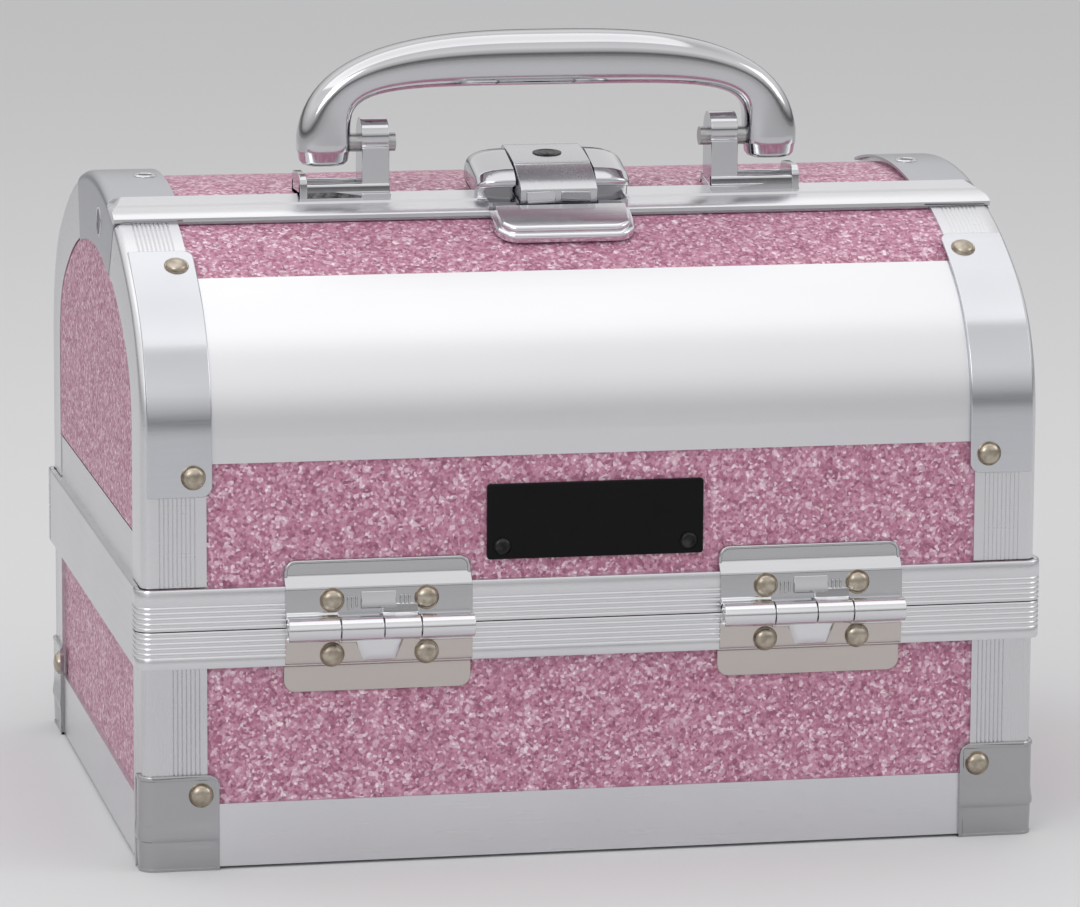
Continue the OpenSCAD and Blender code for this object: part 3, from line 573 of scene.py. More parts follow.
def prism(bm: bmesh.types.BMesh, outline: Sequence[Vector], offset: Sequence[float]) -> None:
    """Adds a solid: a flat outline drawn straight on by an offset.

    Args:
        bm: The mesh that it is added to.
        outline: Its corners in order.
        offset: How far and where it is drawn.
    """
    base = bm.faces.new([bm.verts.new(point) for point in outline])
    drawn = bmesh.ops.extrude_face_region(bm, geom=[base], use_keep_orig=True)["geom"]
    bmesh.ops.translate(bm, verts=verts_of(drawn), vec=offset)


def slab(outline: Sequence[Vector], offset: Sequence[float]) -> bmesh.types.BMesh:
    """A new mesh that holds one prism.

    Args:
        outline: Its corners in order.
        offset: How far and where it is drawn.

    Returns:
        The mesh.
    """
    bm = bmesh.new()
    prism(bm, outline, offset)
    return bm


def lathe(curve: Sequence[Point], closed: bool, steps: int) -> bmesh.types.BMesh:
    """Turns a curve about the Z axis.

    Args:
        curve: Points of (distance from the axis, height).
        closed: Whether its end joins its start.
        steps: Number of steps round the axis.

    Returns:
        The turned mesh.
    """
    bm = bmesh.new()
    verts = [bm.verts.new((r, 0, z)) for r, z in curve]
    ends = [*verts[1:], verts[0]] if closed else verts[1:]
    edges = [bm.edges.new(pair) for pair in zip(verts, ends)]
    bmesh.ops.spin(bm, geom=[*verts, *edges], cent=(0, 0, 0), axis=(0, 0, 1),
                   angle=math.tau, steps=steps, use_merge=True)
    return bm


def loft(bm: bmesh.types.BMesh, rings: Sequence[Sequence[Sequence[float]]]) -> None:
    """Adds a closed skin through rings of equally many points.

    Args:
        bm: The mesh that it is added to.
        rings: The rings in order, the first and the last of which are capped.
    """
    loops = [[bm.verts.new(point) for point in ring] for ring in rings]
    for near, far in zip(loops, loops[1:]):
        for k in range(len(near)):
            bm.faces.new((near[k - 1], near[k], far[k], far[k - 1]))
    bm.faces.new(loops[0])
    bm.faces.new(loops[-1])


def bead(bm: bmesh.types.BMesh, path: Sequence[Vector], out: Vector, radius: float) -> None:
    """Adds a thin rounded bead along an open path.

    Args:
        bm: The mesh that it is added to.
        path: The middle of the bead.
        out: Unit direction away from the face that it lies on.
        radius: Half of its width.
    """
    rings = []
    for k, point in enumerate(path):
        along = (path[min(k + 1, len(path) - 1)] - path[max(k - 1, 0)]).normalized()
        across = along.cross(out)
        rings.append([point + across * (radius * math.cos(a)) + out * (radius * math.sin(a))
                      for a in (math.radians(45.0 * j) for j in range(8))])
    loft(bm, rings)


def side_view(points: Sequence[Point], x: float) -> list[Vector]:
    """Places an outline in the YZ plane at x."""
    return [Vector((x, y, z)) for y, z in points]


def box(bm: bmesh.types.BMesh, corner: Sequence[float], opposite: Sequence[float]) -> None:
    """Adds a box between two opposite corners.

    Args:
        bm: The mesh that it is added to.
        corner: One corner.
        opposite: The corner across from it.
    """
    low, high = ([pick(pair) for pair in zip(corner, opposite)] for pick in (min, max))
    outline = [(low[1], low[2]), (high[1], low[2]), (high[1], high[2]), (low[1], high[2])]
    prism(bm, side_view(outline, low[0]), (high[0] - low[0], 0, 0))


def rounded(points: Sequence[Point], radii: Sequence[float], steps: int = 6) -> list[Point]:
    """Rounds the corners of a flat outline.

    Args:
        points: Its corners in order.
        radii: The radius of each corner, 0 for a sharp one.
        steps: Number of edges in a rounding.

    Returns:
        The rounded outline.
    """
    result: list[Point] = []
    for k, (corner, radius) in enumerate(zip(points, radii)):
        here = Vector(corner)
        if radius <= 0:
            result.append(tuple(here))
            continue
        back = (Vector(points[k - 1]) - here).normalized()
        on = (Vector(points[(k + 1) % len(points)]) - here).normalized()
        half = back.angle(on) / 2
        start = here + back * (radius / math.tan(half))
        centre = here + (back + on).normalized() * (radius / math.sin(half))
        spoke = start - centre
        sweep = math.pi - 2 * half
        sense = 1.0 if back.cross(on) < 0 else -1.0
        for step in range(steps + 1):
            turned = Matrix.Rotation(sense * sweep * step / steps, 2) @ spoke
            result.append(tuple(centre + turned))
    return result


def tube(bm: bmesh.types.BMesh, start: Sequence[float], length: float, radius: float,
         segments: int = 40) -> None:
    """Adds a closed cylinder that runs along +X from its start.

    Args:
        bm: The mesh that it is added to.
        start: Middle of its first end.
        length: Its length.
        radius: Its radius.
        segments: Number of its sides.
    """
    turn = Matrix.Rotation(math.radians(90), 4, "Y")
    middle = Vector(start) + Vector((length / 2, 0, 0))
    bmesh.ops.create_cone(bm, cap_ends=True, segments=segments, radius1=radius,
                          radius2=radius, depth=length, matrix=Matrix.Translation(middle) @ turn)


def fluted(start: float, stop: float, pitch: float, width: float, depth: float) -> list[Point]:
    """The outline of a face with fine grooves.

    Args:
        start: Where the grooves begin.
        stop: Where they end.
        pitch: Distance from groove to groove.
        width: Width of a groove.
        depth: Depth of a groove.

    Returns:
        Points of (place, depth below the face).
    """
    count = int((stop - start) / pitch)
    return [point for k in range(count + 1)
            for middle in [start + k * pitch]
            for point in ((middle - width / 2, 0.0), (middle, depth), (middle + width / 2, 0.0))]


# ---- The case's shape ----


@dataclass(frozen=True)
class CaseShape:
    """The outline of the case and the planes that its parts share, read from the frame."""

    half_w: float
    half_d: float
    spring_z: float = 114.0
    arch_rise: float = 57.0
    shoulder_r: float = 42.0
    seam_fore: float = 43.0
    seam_lean: float = 35.0
    seam_z: float = 64.0
    gap: float = 0.3
    band_low: float = 54.0
    band_top: float = 75.0
    band_proud: float = 1.5
    skin: float = 1.2
    flange: float = 17.0

    @property
    def crown_r(self) -> float:
        """Radius of the crown arc."""
        rest = self.half_d ** 2 + self.arch_rise ** 2 - 2 * self.half_d * self.shoulder_r
        return rest / (2 * (self.arch_rise - self.shoulder_r))

    @property
    def crown_z(self) -> float:
        """Height of the crown arc's centre."""
        return self.spring_z + self.arch_rise - self.crown_r

    @property
    def turn_deg(self) -> float:
        """Angle from the crown at which the shoulder takes over."""
        return math.degrees(math.atan2(self.half_d - self.shoulder_r,
                                       self.spring_z - self.crown_z))

    def top_z(self, y: float, out: float = 0.0) -> float:
        """Height of the arch at y, out past its surface."""
        return self.crown_z + math.sqrt((self.crown_r + out) ** 2 - y * y)

    def on_crown(self, angle: float, out: float = 0.0, x: float = 0.0) -> Matrix:
        """The frame of a spot on the crown: z away from the case, y to the rear.

        Args:
            angle: Degrees in front of the crown's top.
            out: Distance past the surface.
            x: Place along the case.

        Returns:
            The matrix of that frame.
        """
        turn = math.radians(angle)
        reach = self.crown_r + out
        spot = Vector((x, -reach * math.sin(turn), self.crown_z + reach * math.cos(turn)))
        return Matrix.Translation(spot) @ Matrix.Rotation(turn, 4, "X")

    def climb(self, sweep: Sweep, start_z: float, end_deg: float) -> Sweep:
        """Draws a section up the front, over the shoulder and along the crown.

        Args:
            sweep: The sweep, with its section lying at start_z.
            start_z: Height at which it starts.
            end_deg: Angle in front of the crown's top at which it ends.

        Returns:
            The sweep.
        """
        sweep.run((0, 0, self.spring_z - start_z))
        shoulder = (0, self.shoulder_r - self.half_d, self.spring_z)
        sweep.turn(shoulder, (1, 0, 0), self.turn_deg - 90, 18)
        return sweep.turn((0, 0, self.crown_z), (1, 0, 0), end_deg - self.turn_deg, 16)

    def arch_outline(self, inset: float, low_z: float) -> list[Point]:
        """The arch seen from the end, drawn in by an inset and flat at its foot.

        Args:
            inset: How far it is drawn in.
            low_z: Height of its foot.

        Returns:
            Its points of (y, z), from the rear foot over the crown to the front foot.
        """
        shoulder_y, shoulder_r = self.half_d - self.shoulder_r, self.shoulder_r - inset
        points = [(self.half_d - inset, low_z)]
        for k in range(10):
            angle = math.radians(k / 9 * (90 - self.turn_deg))
            points.append((shoulder_y + shoulder_r * math.cos(angle),
                           self.spring_z + shoulder_r * math.sin(angle)))
        for k in range(1, 16):
            angle = math.radians(self.turn_deg * (1 - k / 15))
            points.append(((self.crown_r - inset) * math.sin(angle),
                           self.crown_z + (self.crown_r - inset) * math.cos(angle)))
        return [*points, *[(-y, z) for y, z in reversed(points[:-1])]]

    def cut_at_seam(self, bm: bmesh.types.BMesh, front: Front, back_off: float) -> None:
        """Cuts a part of either lid off along the leaning seam.

        Args:
            bm: The part's mesh.
            front: Which lid it is on.
            back_off: How far it ends short of the middle of the seam.
        """
        lean = math.radians(self.seam_lean)
        y = -self.seam_fore - front.value * back_off
        normal = Vector((0, math.cos(lean), math.sin(lean))) * front.value
        cut(bm, (0, y, self.top_z(-self.seam_fore)), normal)


def case_shape() -> CaseShape:
    """Reads the case's width and depth from the frame.

    Returns:
        The shape of the case.
    """
    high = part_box("bottom_rails")[1]
    return CaseShape(half_w=high.x / MM, half_d=high.y / MM)


def to_rear(bm: bmesh.types.BMesh, front: Front) -> None:
    """Mirrors a mesh made for the front to the rear, if that is where it belongs.

    Args:
        bm: The mesh.
        front: Where it belongs.
    """
    if front is Front.REAR:
        bmesh.ops.scale(bm, verts=bm.verts, vec=(1, -1, 1))
        bmesh.ops.reverse_faces(bm, faces=bm.faces)


# ---- Aluminium edges ----


@dataclass
class EdgeProfiles:
    """The fluted corner posts, the arched profiles, the band and the ribbed strip."""

    case: CaseShape
    post_grooves: Point = (8.2, 15.4)
    arch_grooves: Point = (4.8, 14.4)
    arch_ends: Point = (14.0, -24.0)
    band_corner: float = 4.0
    lip_half: float = 114.0
    corner_r: float = 2.6
    groove: float = 0.55
    groove_depth: float = 0.22
    groove_pitch: float = 1.15
    leg: float = 1.5
    rib_stand: float = 0.3
    rib: tuple[float, float, float] = (1.35, 0.7, 0.2)
    rib_edges: Point = (3.2, 3.6)
    edge_r: float = 0.2

    def section(self, side: Side, z: float, grooves: Point) -> list[Vector]:
        """The angle section at the front, lying at height z.

        Args:
            side: The end of the case.
            z: The height.
            grooves: Distances from the corner at which the grooves begin and end.

        Returns:
            Its corners.
        """
        case = self.case
        face = fluted(*grooves, self.groove_pitch, self.groove, self.groove_depth)
        corner = [(self.corner_r * (1 - math.cos(a)), self.corner_r * (1 - math.sin(a)))
                  for a in (math.radians(15.0 * k) for k in range(7))]
        inside = [(case.flange, 0.0), (case.flange, case.skin), (self.leg + 1.0, case.skin),
                  (self.leg, case.skin + 1.0), (self.leg, case.flange), (0.0, case.flange)]
        return [Vector((side.value * (case.half_w - u), d - case.half_d, z))
                for u, d in [*corner, *face, *inside]]

    def posts(self) -> None:
        """The four corner posts of the box."""
        case = self.case
        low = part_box("corner_posts")[0].z / MM
        bm = bmesh.new()
        for side in Side:
            for front in Front:
                post = Sweep(self.section(side, low, self.post_grooves))
                part = post.run((0, 0, case.band_low - low)).close()
                to_rear(part, front)
                merge(bm, part)
        finish_piece("corner_post_profiles", bm, EXTRUDED_UP, Place(Body.BOX, ("corner_posts",)))

    def arches(self) -> None:
        """The profiles that run over the lids' ends."""
        case = self.case
        start = case.band_top + case.gap
        for (front, body), end in zip(LIDS, self.arch_ends):
            for side in Side:
                profile = Sweep(self.section(side, start, self.arch_grooves))
                bm = case.climb(profile, start, end).close()
                to_rear(bm, front)
                case.cut_at_seam(bm, front, case.gap / 2)
                place = Place(body, (f"{body.value}_{side.name.lower()}_profile",))
                finish_piece(f"{body.value}_{side.name.lower()}_arch", bm, EXTRUDED, place)

    def rib_section(self, low: float, high: float, smooth: float) -> list[Point]:
        """The band's ribbed face: distance past the band, and height.

        Args:
            low: Its lower edge.
            high: Its upper edge.
            smooth: Height of the smooth rib at the edge away from the seam.

        Returns:
            The section's corners.
        """
        upper = high > self.case.seam_z + 1
        start, stop = (low + 1.0, high - smooth) if upper else (low + smooth, high - 1.0)
        out, chamfer = self.rib_stand, self.edge_r
        face = [(out - depth, z) for z, depth in fluted(start, stop, *self.rib)]
        return [(-chamfer, low), (out - chamfer, low), (out, low + 2 * chamfer), *face,
                (out, high - 2 * chamfer), (out - chamfer, high), (-chamfer, high)]

    def band(self) -> None:
        """The middle band: ribs round the front and rear corners, and smooth covers on the ends."""
        case = self.case
        lower = self.rib_section(case.band_low, case.seam_z - case.gap / 2, self.rib_edges[0])
        upper = self.rib_section(case.seam_z + case.gap / 2, case.band_top, self.rib_edges[1])
        for front in Front:
            strip = self._corner_to_corner(lower)
            to_rear(strip, front)
            finish_piece(f"{front.name.lower()}_box_band_ribs", strip, EXTRUDED,
                         Place(Body.BOX))
        for front, body in LIDS:
            bm = self._corner_to_corner(upper)
            to_rear(bm, front)
            finish_piece(f"{body.value}_band_ribs", bm, EXTRUDED, Place(body))
        for side in Side:
            low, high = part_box(f"{side.name.lower()}_end_rail")
            cover = rounded([(low.y / MM, case.band_low + 0.2), (high.y / MM, case.band_low + 0.2),
                             (high.y / MM, case.band_top), (low.y / MM, case.band_top)],
                            (0.5,) * 4)
            bm = slab(side_view(cover, side.value * (case.half_w + case.band_proud - 0.2)),
                      (side.value * 0.45, 0, 0))
            finish_piece(f"{side.name.lower()}_end_band_cover", bm, EXTRUDED_END,
                         Place(Body.BOX), bevel=0.15)

    def _corner_to_corner(self, section: Sequence[Point]) -> bmesh.types.BMesh:
        """A strip along the front that turns round both corners.

        Args:
            section: Its face as (distance past the band, height).

        Returns:
            Its mesh.
        """
        reach_x = self.case.half_w + self.case.band_proud
        reach_y = self.case.half_d + self.case.band_proud
        corner, past = self.band_corner, 2.4
        strip = Sweep([Vector((-reach_x - out, corner - reach_y + past, z)) for out, z in section])
        strip.run((0, -past, 0))
        strip.turn((corner - reach_x, corner - reach_y, 0), (0, 0, 1), 90, 10)
        strip.run((2 * (reach_x - corner), 0, 0))
        strip.turn((reach_x - corner, corner - reach_y, 0), (0, 0, 1), 90, 10)
        return strip.run((0, past, 0)).close()

    def strip(self) -> None:
        """The strip along the rear lid's edge, with two ribs, and its lip down the seam."""
        case = self.case
        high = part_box("top_strip")[1]
        half, proud = high.x / MM, 1.2
        back = -case.seam_fore + STRIP_W
        heights = [(0.0, 0.0), (0.1, 0.9), (0.6, proud), (6.4, proud), (6.7, 0.55), (7.2, 0.55),
                   (7.5, proud + 0.2), (13.6, proud + 0.2), (14.2, 0.9), (STRIP_W, 0.0)]
        outer = [(-case.seam_fore + s, case.top_z(-case.seam_fore + s, out)) for s, out in heights]
        inner = [(y, case.top_z(y, -case.skin)) for y in (back, -case.seam_fore + 1.5)]
        bm = slab(side_view([*outer, *inner], -half), (2 * half, 0, 0))
        for sign in (-1, 1):
            cut(bm, (sign * (half - 1.6), 0, case.top_z(-case.seam_fore + 7, 1.4)),
                (sign * 0.6, 0, 0.8))
        lean = math.radians(case.seam_lean)
        mouth = Vector((-case.seam_fore + case.gap / 2, case.top_z(-case.seam_fore)))
        down = Vector((math.sin(lean), -math.cos(lean)))
        across = Vector((math.cos(lean), math.sin(lean)))
        start, lip_t, depth = mouth + down * 0.8, 1.6, 5.0
        lip = [start, start + down * depth, start + down * depth + across * lip_t,
               start + across * lip_t]
        prism(bm, side_view([tuple(p) for p in lip], -self.lip_half), (2 * self.lip_half, 0, 0))
        finish_piece("ribbed_top_strip", bm, EXTRUDED, Place(Body.REAR_LID, ("top_strip",)))

    def build(self) -> None:
        """Builds every aluminium edge."""
        self.posts()
        self.arches()
        self.band()
        self.strip()


def merge(bm: bmesh.types.BMesh, part: bmesh.types.BMesh, matrix: Matrix | None = None) -> None:
    """Adds a part's mesh to another, moved by a matrix, and frees the part.

    Args:
        bm: The mesh that receives it.
        part: The part.
        matrix: Where it goes, or None to leave it in place.
    """
    if matrix is not None:
        bmesh.ops.transform(part, matrix=matrix, verts=part.verts)
    carrier = bpy.data.meshes.new("carrier")
    part.to_mesh(carrier)
    part.free()
    bm.from_mesh(carrier)
    bpy.data.meshes.remove(carrier)


# ---- Brackets and rivets ----


@dataclass
class Brackets:
    """The pressed brackets at the box's bottom corners and over the lids' shoulders."""

    case: CaseShape
    low_w: float = 20.0
    low_h: float = 25.5
    rim: float = 0.22
    rim_w: Point = (0.9, 1.2)
    levels: tuple[Point, ...] = ((0.0, -0.15), (6.0, 0.0), (7.9, 0.02), (8.3, 0.32), (9.2, 0.42),
                                 (12.4, 0.05), (13.5, 0.0), (24.1, 0.0), (24.4, 0.22),
                                 (25.2, 0.22))
    low_r: float = 4.0
    fore_leg: float = 8.0
    arch_w: float = 18.5
    arch_low: float = 99.0
    arch_end: float = 25.5
    free: float = 1.5
    corner_r: float = 3.0

    def low_bracket(self, leg: float) -> bmesh.types.BMesh:
        """One bottom bracket at the front right corner, with a pressed rib across its foot.

        Args:
            leg: How far it reaches along the end face.

        Returns:
            Its mesh.
        """
        x, y = self.case.half_w + SHEET, self.case.half_d + SHEET
        near_x, near_y = self.case.half_w - self.low_w, self.case.half_d - leg
        inner = rounded([(x - SHEET, -near_y), (x - SHEET, SHEET - y),
                         (near_x, SHEET - y)], (0, self.low_r - SHEET, 0), steps=8)
        top, foot = self.rim_w
        rings = []
        for z, out in (*self.levels, (self.low_h, 0.05)):
            rim = max(out, self.rim)
            outer = rounded([(near_x, -y - rim), (near_x + top, -y - rim),
                             (near_x + foot, -y - out), (x + out, -y - out),
                             (x + out, -near_y - foot), (x + rim, -near_y - top),
                             (x + rim, -near_y)], (0, 0, 0, self.low_r, 0, 0, 0), steps=8)
            rings.append([(*point, z) for point in [*outer, *inner]])
        bm = bmesh.new()
        loft(bm, rings)
        radius = self.corner_r
        for k in range(1, 6):
            angle = math.radians(15.0 * k)
            c, s = math.cos(angle), math.sin(angle)
            z = self.low_h - radius * (1 - s)
            cut(bm, (near_x + radius * (1 - c), 0, z), (-c, 0, s))
            cut(bm, (0, -near_y - radius * (1 - c), z), (0, c, s))
        sole = rounded([(near_x, -near_y), (near_x, -y), (x, -y), (x, -near_y)],
                       (0, 0, self.low_r, 0))
        prism(bm, [Vector((*p, 0)) for p in sole], (0, 0, SHEET))
        return bm

    def low(self) -> None:
        """The four bottom brackets, with long legs at the rear."""
        bm = bmesh.new()
        for side in Side:
            for front, leg in ((Front.FRONT, self.fore_leg), (Front.REAR, self.low_w)):
                part = self.low_bracket(leg)
                bmesh.ops.scale(part, verts=part.verts, vec=(side.value, front.value, 1))
                merge(bm, part)
        # Darker copy of the bracket steel: painted shade.
        finish_piece("pressed_corner_brackets", bm, SHADED_BRACKET_STEEL,
                     Place(Body.BOX, ("corner_brackets",)), bevel=0.12)

    def arched(self) -> None:
        """The four brackets over the lids' shoulders, which leave the rounded edge free."""
        case = self.case
        for front, body in LIDS:
            for side in Side:
                plan = [(self.free, 0.15), (self.free, -SHEET), (self.arch_w, -SHEET),
                        (self.arch_w, 0.15)]
                section = [Vector((side.value * (case.half_w - u), d - case.half_d,
                                   self.arch_low)) for u, d in plan]
                bm = case.climb(Sweep(section), self.arch_low, self.arch_end).close()
                self._round_ends(bm, side)
                to_rear(bm, front)
                name = f"{body.value}_{side.name.lower()}"
                # Lighter copy of the bracket steel: painted highlight.
                finish_piece(f"{name}_shoulder_bracket", bm, LIT_BRACKET_STEEL,
                             Place(body, (f"{name}_bracket",)), bevel=0.3)

    def _round_ends(self, bm: bmesh.types.BMesh, side: Side) -> None:
        """Rounds the two inner corners of a shoulder bracket with planes.

        Args:
            bm: The bracket's mesh, on the front lid.
            side: The end of the case.
        """
        r, edge_x = self.corner_r, self.case.half_w - self.arch_w
        foot = Matrix.Translation((0, -self.case.half_d, self.arch_low))
        foot = foot @ Matrix.Rotation(math.radians(90), 4, "X")
        for flat, along in ((foot, -1.0), (self.case.on_crown(self.arch_end), 1.0)):
            middle = Vector((side.value * (edge_x + r), -along * r, 0))
            for k in range(5):
                angle = math.radians(90.0 * (k + 0.5) / 5)
                out = Vector((-side.value * math.cos(angle), along * math.sin(angle), 0))
                cut(bm, flat @ (middle + out * r), flat.to_3x3() @ out)

    def build(self) -> None:
        """Builds every bracket."""
        self.low()
        self.arched()


def facing_front(x: float, y: float, z: float) -> Matrix:
    """The frame of a spot on an upright face at the front, z away from the face."""
    return Matrix.Translation((x, y, z)) @ Matrix.Rotation(math.radians(90), 4, "X")


def facing_end(side: Side, reach: float, y: float, z: float) -> Matrix:
    """The frame of a spot on an end face, z away from the face."""
    turn = Matrix.Rotation(math.radians(90 * side.value), 4, "Y")
    return Matrix.Translation((side.value * reach, y, z)) @ turn


@dataclass
class Rivets:
    """Domed rivet heads with a thin shoulder, set on brackets, hinges and plates."""

    case: CaseShape
    head_r: float = 3.3
    head_h: float = 1.6
    shoulder: float = 0.35
    hinge_dx: float = 12.5
    hinge_dz: float = 7.2
    low_inset: float = 15.2
    low_z: float = 20.2
    lid_inset: float = 13.5
    lid_z: float = 104.3
    lid_deg: float = 28.5
    plate_x: float = 25.0
    plate_z: float = 83.5

    def head(self, radius: float, height: float) -> bmesh.types.BMesh:
        """One rivet head on z = 0.

        Args:
            radius: Its radius.
            height: Its height.

        Returns:
            Its mesh.
        """
        dome = radius * 0.84
        curve = [(dome * math.sin(a), self.shoulder + (height - self.shoulder) * math.cos(a))
                 for a in (math.radians(11.25 * k) for k in range(9))]
        points = [*curve, (dome + 0.05, 0.12), (dome + 0.2, 0.12), (radius - 0.1, self.shoulder),
                  (radius, 0.0), (0.0, 0.0)]
        bm = lathe(points, False, 24)
        bmesh.ops.remove_doubles(bm, verts=bm.verts, dist=0.001)
        return bm

    def group(self, name: str, frames: Sequence[Matrix], front: Front, finish: Finish,
              place: Place, radius: float, height: float) -> None:
        """Builds a group of equal rivets.

        Args:
            name: The piece's name.
            frames: Where each rivet sits, at the front.
            front: Whether the group is mirrored to the rear.
            finish: Its finish.
            place: Its body and nodes.
            radius: Radius of a head.
            height: Height of a head.
        """
        bm = bmesh.new()
        for matrix in frames:
            merge(bm, self.head(radius, height), matrix)
        to_rear(bm, front)
        finish_piece(name, bm, finish, place, sharp_deg=50.0)

    def build(self) -> None:
        """Builds the rivets of the box, both lids and the plate."""
        case = self.case
        face = -case.half_d - SHEET
        hinge_y = -(case.half_d + case.band_proud + 1.0)
        hinge_x = [sx * HINGE_X + dx * self.hinge_dx for sx in (-1, 1) for dx in (-1, 1)]
        low_x, low_y = case.half_w - self.low_inset, case.half_d - self.low_inset
        fore = [facing_front(x, hinge_y, case.seam_z - self.hinge_dz) for x in hinge_x]
        fore += [facing_front(side.value * low_x, face, self.low_z) for side in Side]
        aft = [Matrix.Scale(-1, 4, (0, 1, 0)) @ matrix for matrix in fore]
        ends = [facing_end(side, case.half_w + SHEET, low_y, self.low_z) for side in Side]
        self.group("box_rivet_heads", [*fore, *aft, *ends], Front.FRONT, RIVET,
                   Place(Body.BOX, ("base_rivets",)), self.head_r, self.head_h)
        for front, body in LIDS:
            frames = [facing_front(x, hinge_y, case.seam_z + self.hinge_dz) for x in hinge_x]
            for side in Side:
                x = side.value * (case.half_w - self.lid_inset)
                frames.append(facing_front(x, face, self.lid_z))
                frames.append(case.on_crown(self.lid_deg, SHEET, x))
            self.group(f"{body.value}_rivet_heads", frames, front, RIVET,
                       Place(body, (f"{body.value}_rivets",)), self.head_r, self.head_h)
        plate_y = -(case.half_d - case.skin + 1.4)
        frames = [facing_front(sx * self.plate_x, plate_y, self.plate_z) for sx in (-1, 1)]
        self.group("plate_rivet_heads", frames, Front.FRONT, DARK,
                   Place(Body.FRONT_LID, ("plate_rivets",)), 2.4, 0.8)


# ---- Hinges ----


@dataclass
class Hinge:
    """A stepped butt hinge: two leaves with rolled knuckles, a punched tab and a bulge."""

    case: CaseShape
    middle: float
    front: Front
    width: float = 49.5
    sheet: float = 1.0
    knuckle_r: float = 3.2
    leaf: float = 17.5
    corner_r: float = 3.0
    slope: float = 2.4
    joints: tuple[float, ...] = (0.0, 0.28, 0.51, 0.71, 1.0)
    joint_gap: float = 0.16
    rim_r: float = 0.5
    tab_x: Point = (-4.9, 9.2)
    mark_x: Point = (-8.6, 5.4)
    bulge_rings: tuple[tuple[float, ...], ...] = ((7.2, 4.4, 9.2, -0.2), (6.9, 4.1, 8.9, 0.25),
                                                  (6.0, 3.2, 7.7, 1.0), (5.4, 2.6, 6.8, 1.15))

    @property
    def axis_y(self) -> float:
        """Place of the hinge axis at the front."""
        return -(self.case.half_d + self.case.band_proud + self.knuckle_r + self.case.gap)

    @property
    def label(self) -> str:
        """Name of the hinge."""
        side = "left" if self.middle < 0 else "right"
        return f"{self.front.name.lower()}_{side}_hinge"

    def leaf_mesh(self, up: int) -> bmesh.types.BMesh:
        """The stepped plate of a leaf.

        Args:
            up: 1 for the lid's leaf, -1 for the box's.

        Returns:
            Its mesh.
        """
        case = self.case
        face = case.half_d + case.band_proud
        wall = case.half_d - case.skin
        step = case.band_top - case.seam_z if up > 0 else case.seam_z - case.band_low
        left = self.middle - self.width / 2
        low, t = self.knuckle_r - 0.6, self.sheet
        slope = self.slope if up > 0 else 0.7
        section = rounded([(-face - t, low), (-face - t, step - 0.6), (-wall - t, step + slope),
                           (-wall - t, self.leaf), (-wall, self.leaf), (-wall, step),
                           (-face, step), (-face, low)],
                          (0, 1.0, 0.6, 0, 0, 0.4, 0.3, 0), steps=4)
        placed = [(y, case.seam_z + up * z) for y, z in section]
        bm = slab(side_view(placed, left), (self.width, 0, 0))
        far = case.seam_z + up * self.leaf
        tips = [edge for edge in bm.edges
                if all(abs(vert.co.z - far) < 0.01 for vert in edge.verts)
                and abs(edge.verts[0].co.x - edge.verts[1].co.x) < 0.01]
        bmesh.ops.bevel(bm, geom=tips, offset=self.corner_r, segments=5, profile=0.5,
                        affect="EDGES", material=-1)
        return bm

    def knuckles(self, up: int) -> bmesh.types.BMesh:
        """The rolled knuckles of one leaf, with the webs that join them to it.

        Args:
            up: 1 for the lid's leaf, -1 for the box's.

        Returns:
            Their mesh.
        """
        face = self.case.half_d + self.case.band_proud + self.sheet
        z = self.case.seam_z
        bm = bmesh.new()
        for k in range(len(self.joints) - 1):
            if (k % 2 == 0) != (up > 0):
                continue
            x0 = self.middle + (self.joints[k] - 0.5) * self.width + self.joint_gap
            x1 = self.middle + (self.joints[k + 1] - 0.5) * self.width - self.joint_gap
            tube(bm, (x0, self.axis_y, z), x1 - x0, self.knuckle_r)
            reach = self.knuckle_r + (2.6 if k == 2 else 0.9)
            web = [(-face, z + up * 0.2), (self.axis_y, z + up * (self.knuckle_r - 0.4)),
                   (-face - 0.7, z + up * (self.knuckle_r + 0.2)), (-face - 0.35, z + up * reach),
                   (-face + 0.3, z + up * (reach + 0.3)), (-face + 0.3, z + up * 0.2)]
            prism(bm, side_view(web, x0), (x1 - x0, 0, 0))
        return bm

    def rim(self, bm: bmesh.types.BMesh) -> None:
        """Adds the raised bead round the upper leaf's top and sides.

        Args:
            bm: The mesh that it is added to.
        """
        case = self.case
        half, inset = self.width / 2 - self.rim_r, self.rim_r
        low, top = case.band_top + self.slope - 0.4, case.seam_z + self.leaf - inset
        outline = rounded([(self.middle - half, low), (self.middle - half, top),
                           (self.middle + half, top), (self.middle + half, low)],
                          (0, self.corner_r - inset, self.corner_r - inset, 0))
        y = -(case.half_d - case.skin + self.sheet)
        bead(bm, [Vector((x, y, z)) for x, z in outline], Vector((0, -1, 0)), inset)

    def tab(self, bm: bmesh.types.BMesh) -> None:
        """Adds the struck tab between the upper rivets, with its punched marks.

        Args:
            bm: The mesh that it is added to.
        """
        face = -(self.case.half_d + self.case.band_proud + self.sheet)
        z = self.case.seam_z
        struck = [(face + 0.2, z + 9.4), (face - 0.3, z + 8.9), (face - 1.1, z + 5.6),
                  (face - 0.9, z + 5.0), (face + 0.2, z + 4.6)]
        prism(bm, side_view(struck, self.middle + self.tab_x[0]), (self.tab_x[1], 0, 0))
        for x in self.mark_x:
            for k in range(3):
                start = self.middle + x + 1.1 * k
                box(bm, (start, face - 0.4, z + 4.6 + 0.3 * k), (start + 0.55, face + 0.1, z + 8.2))

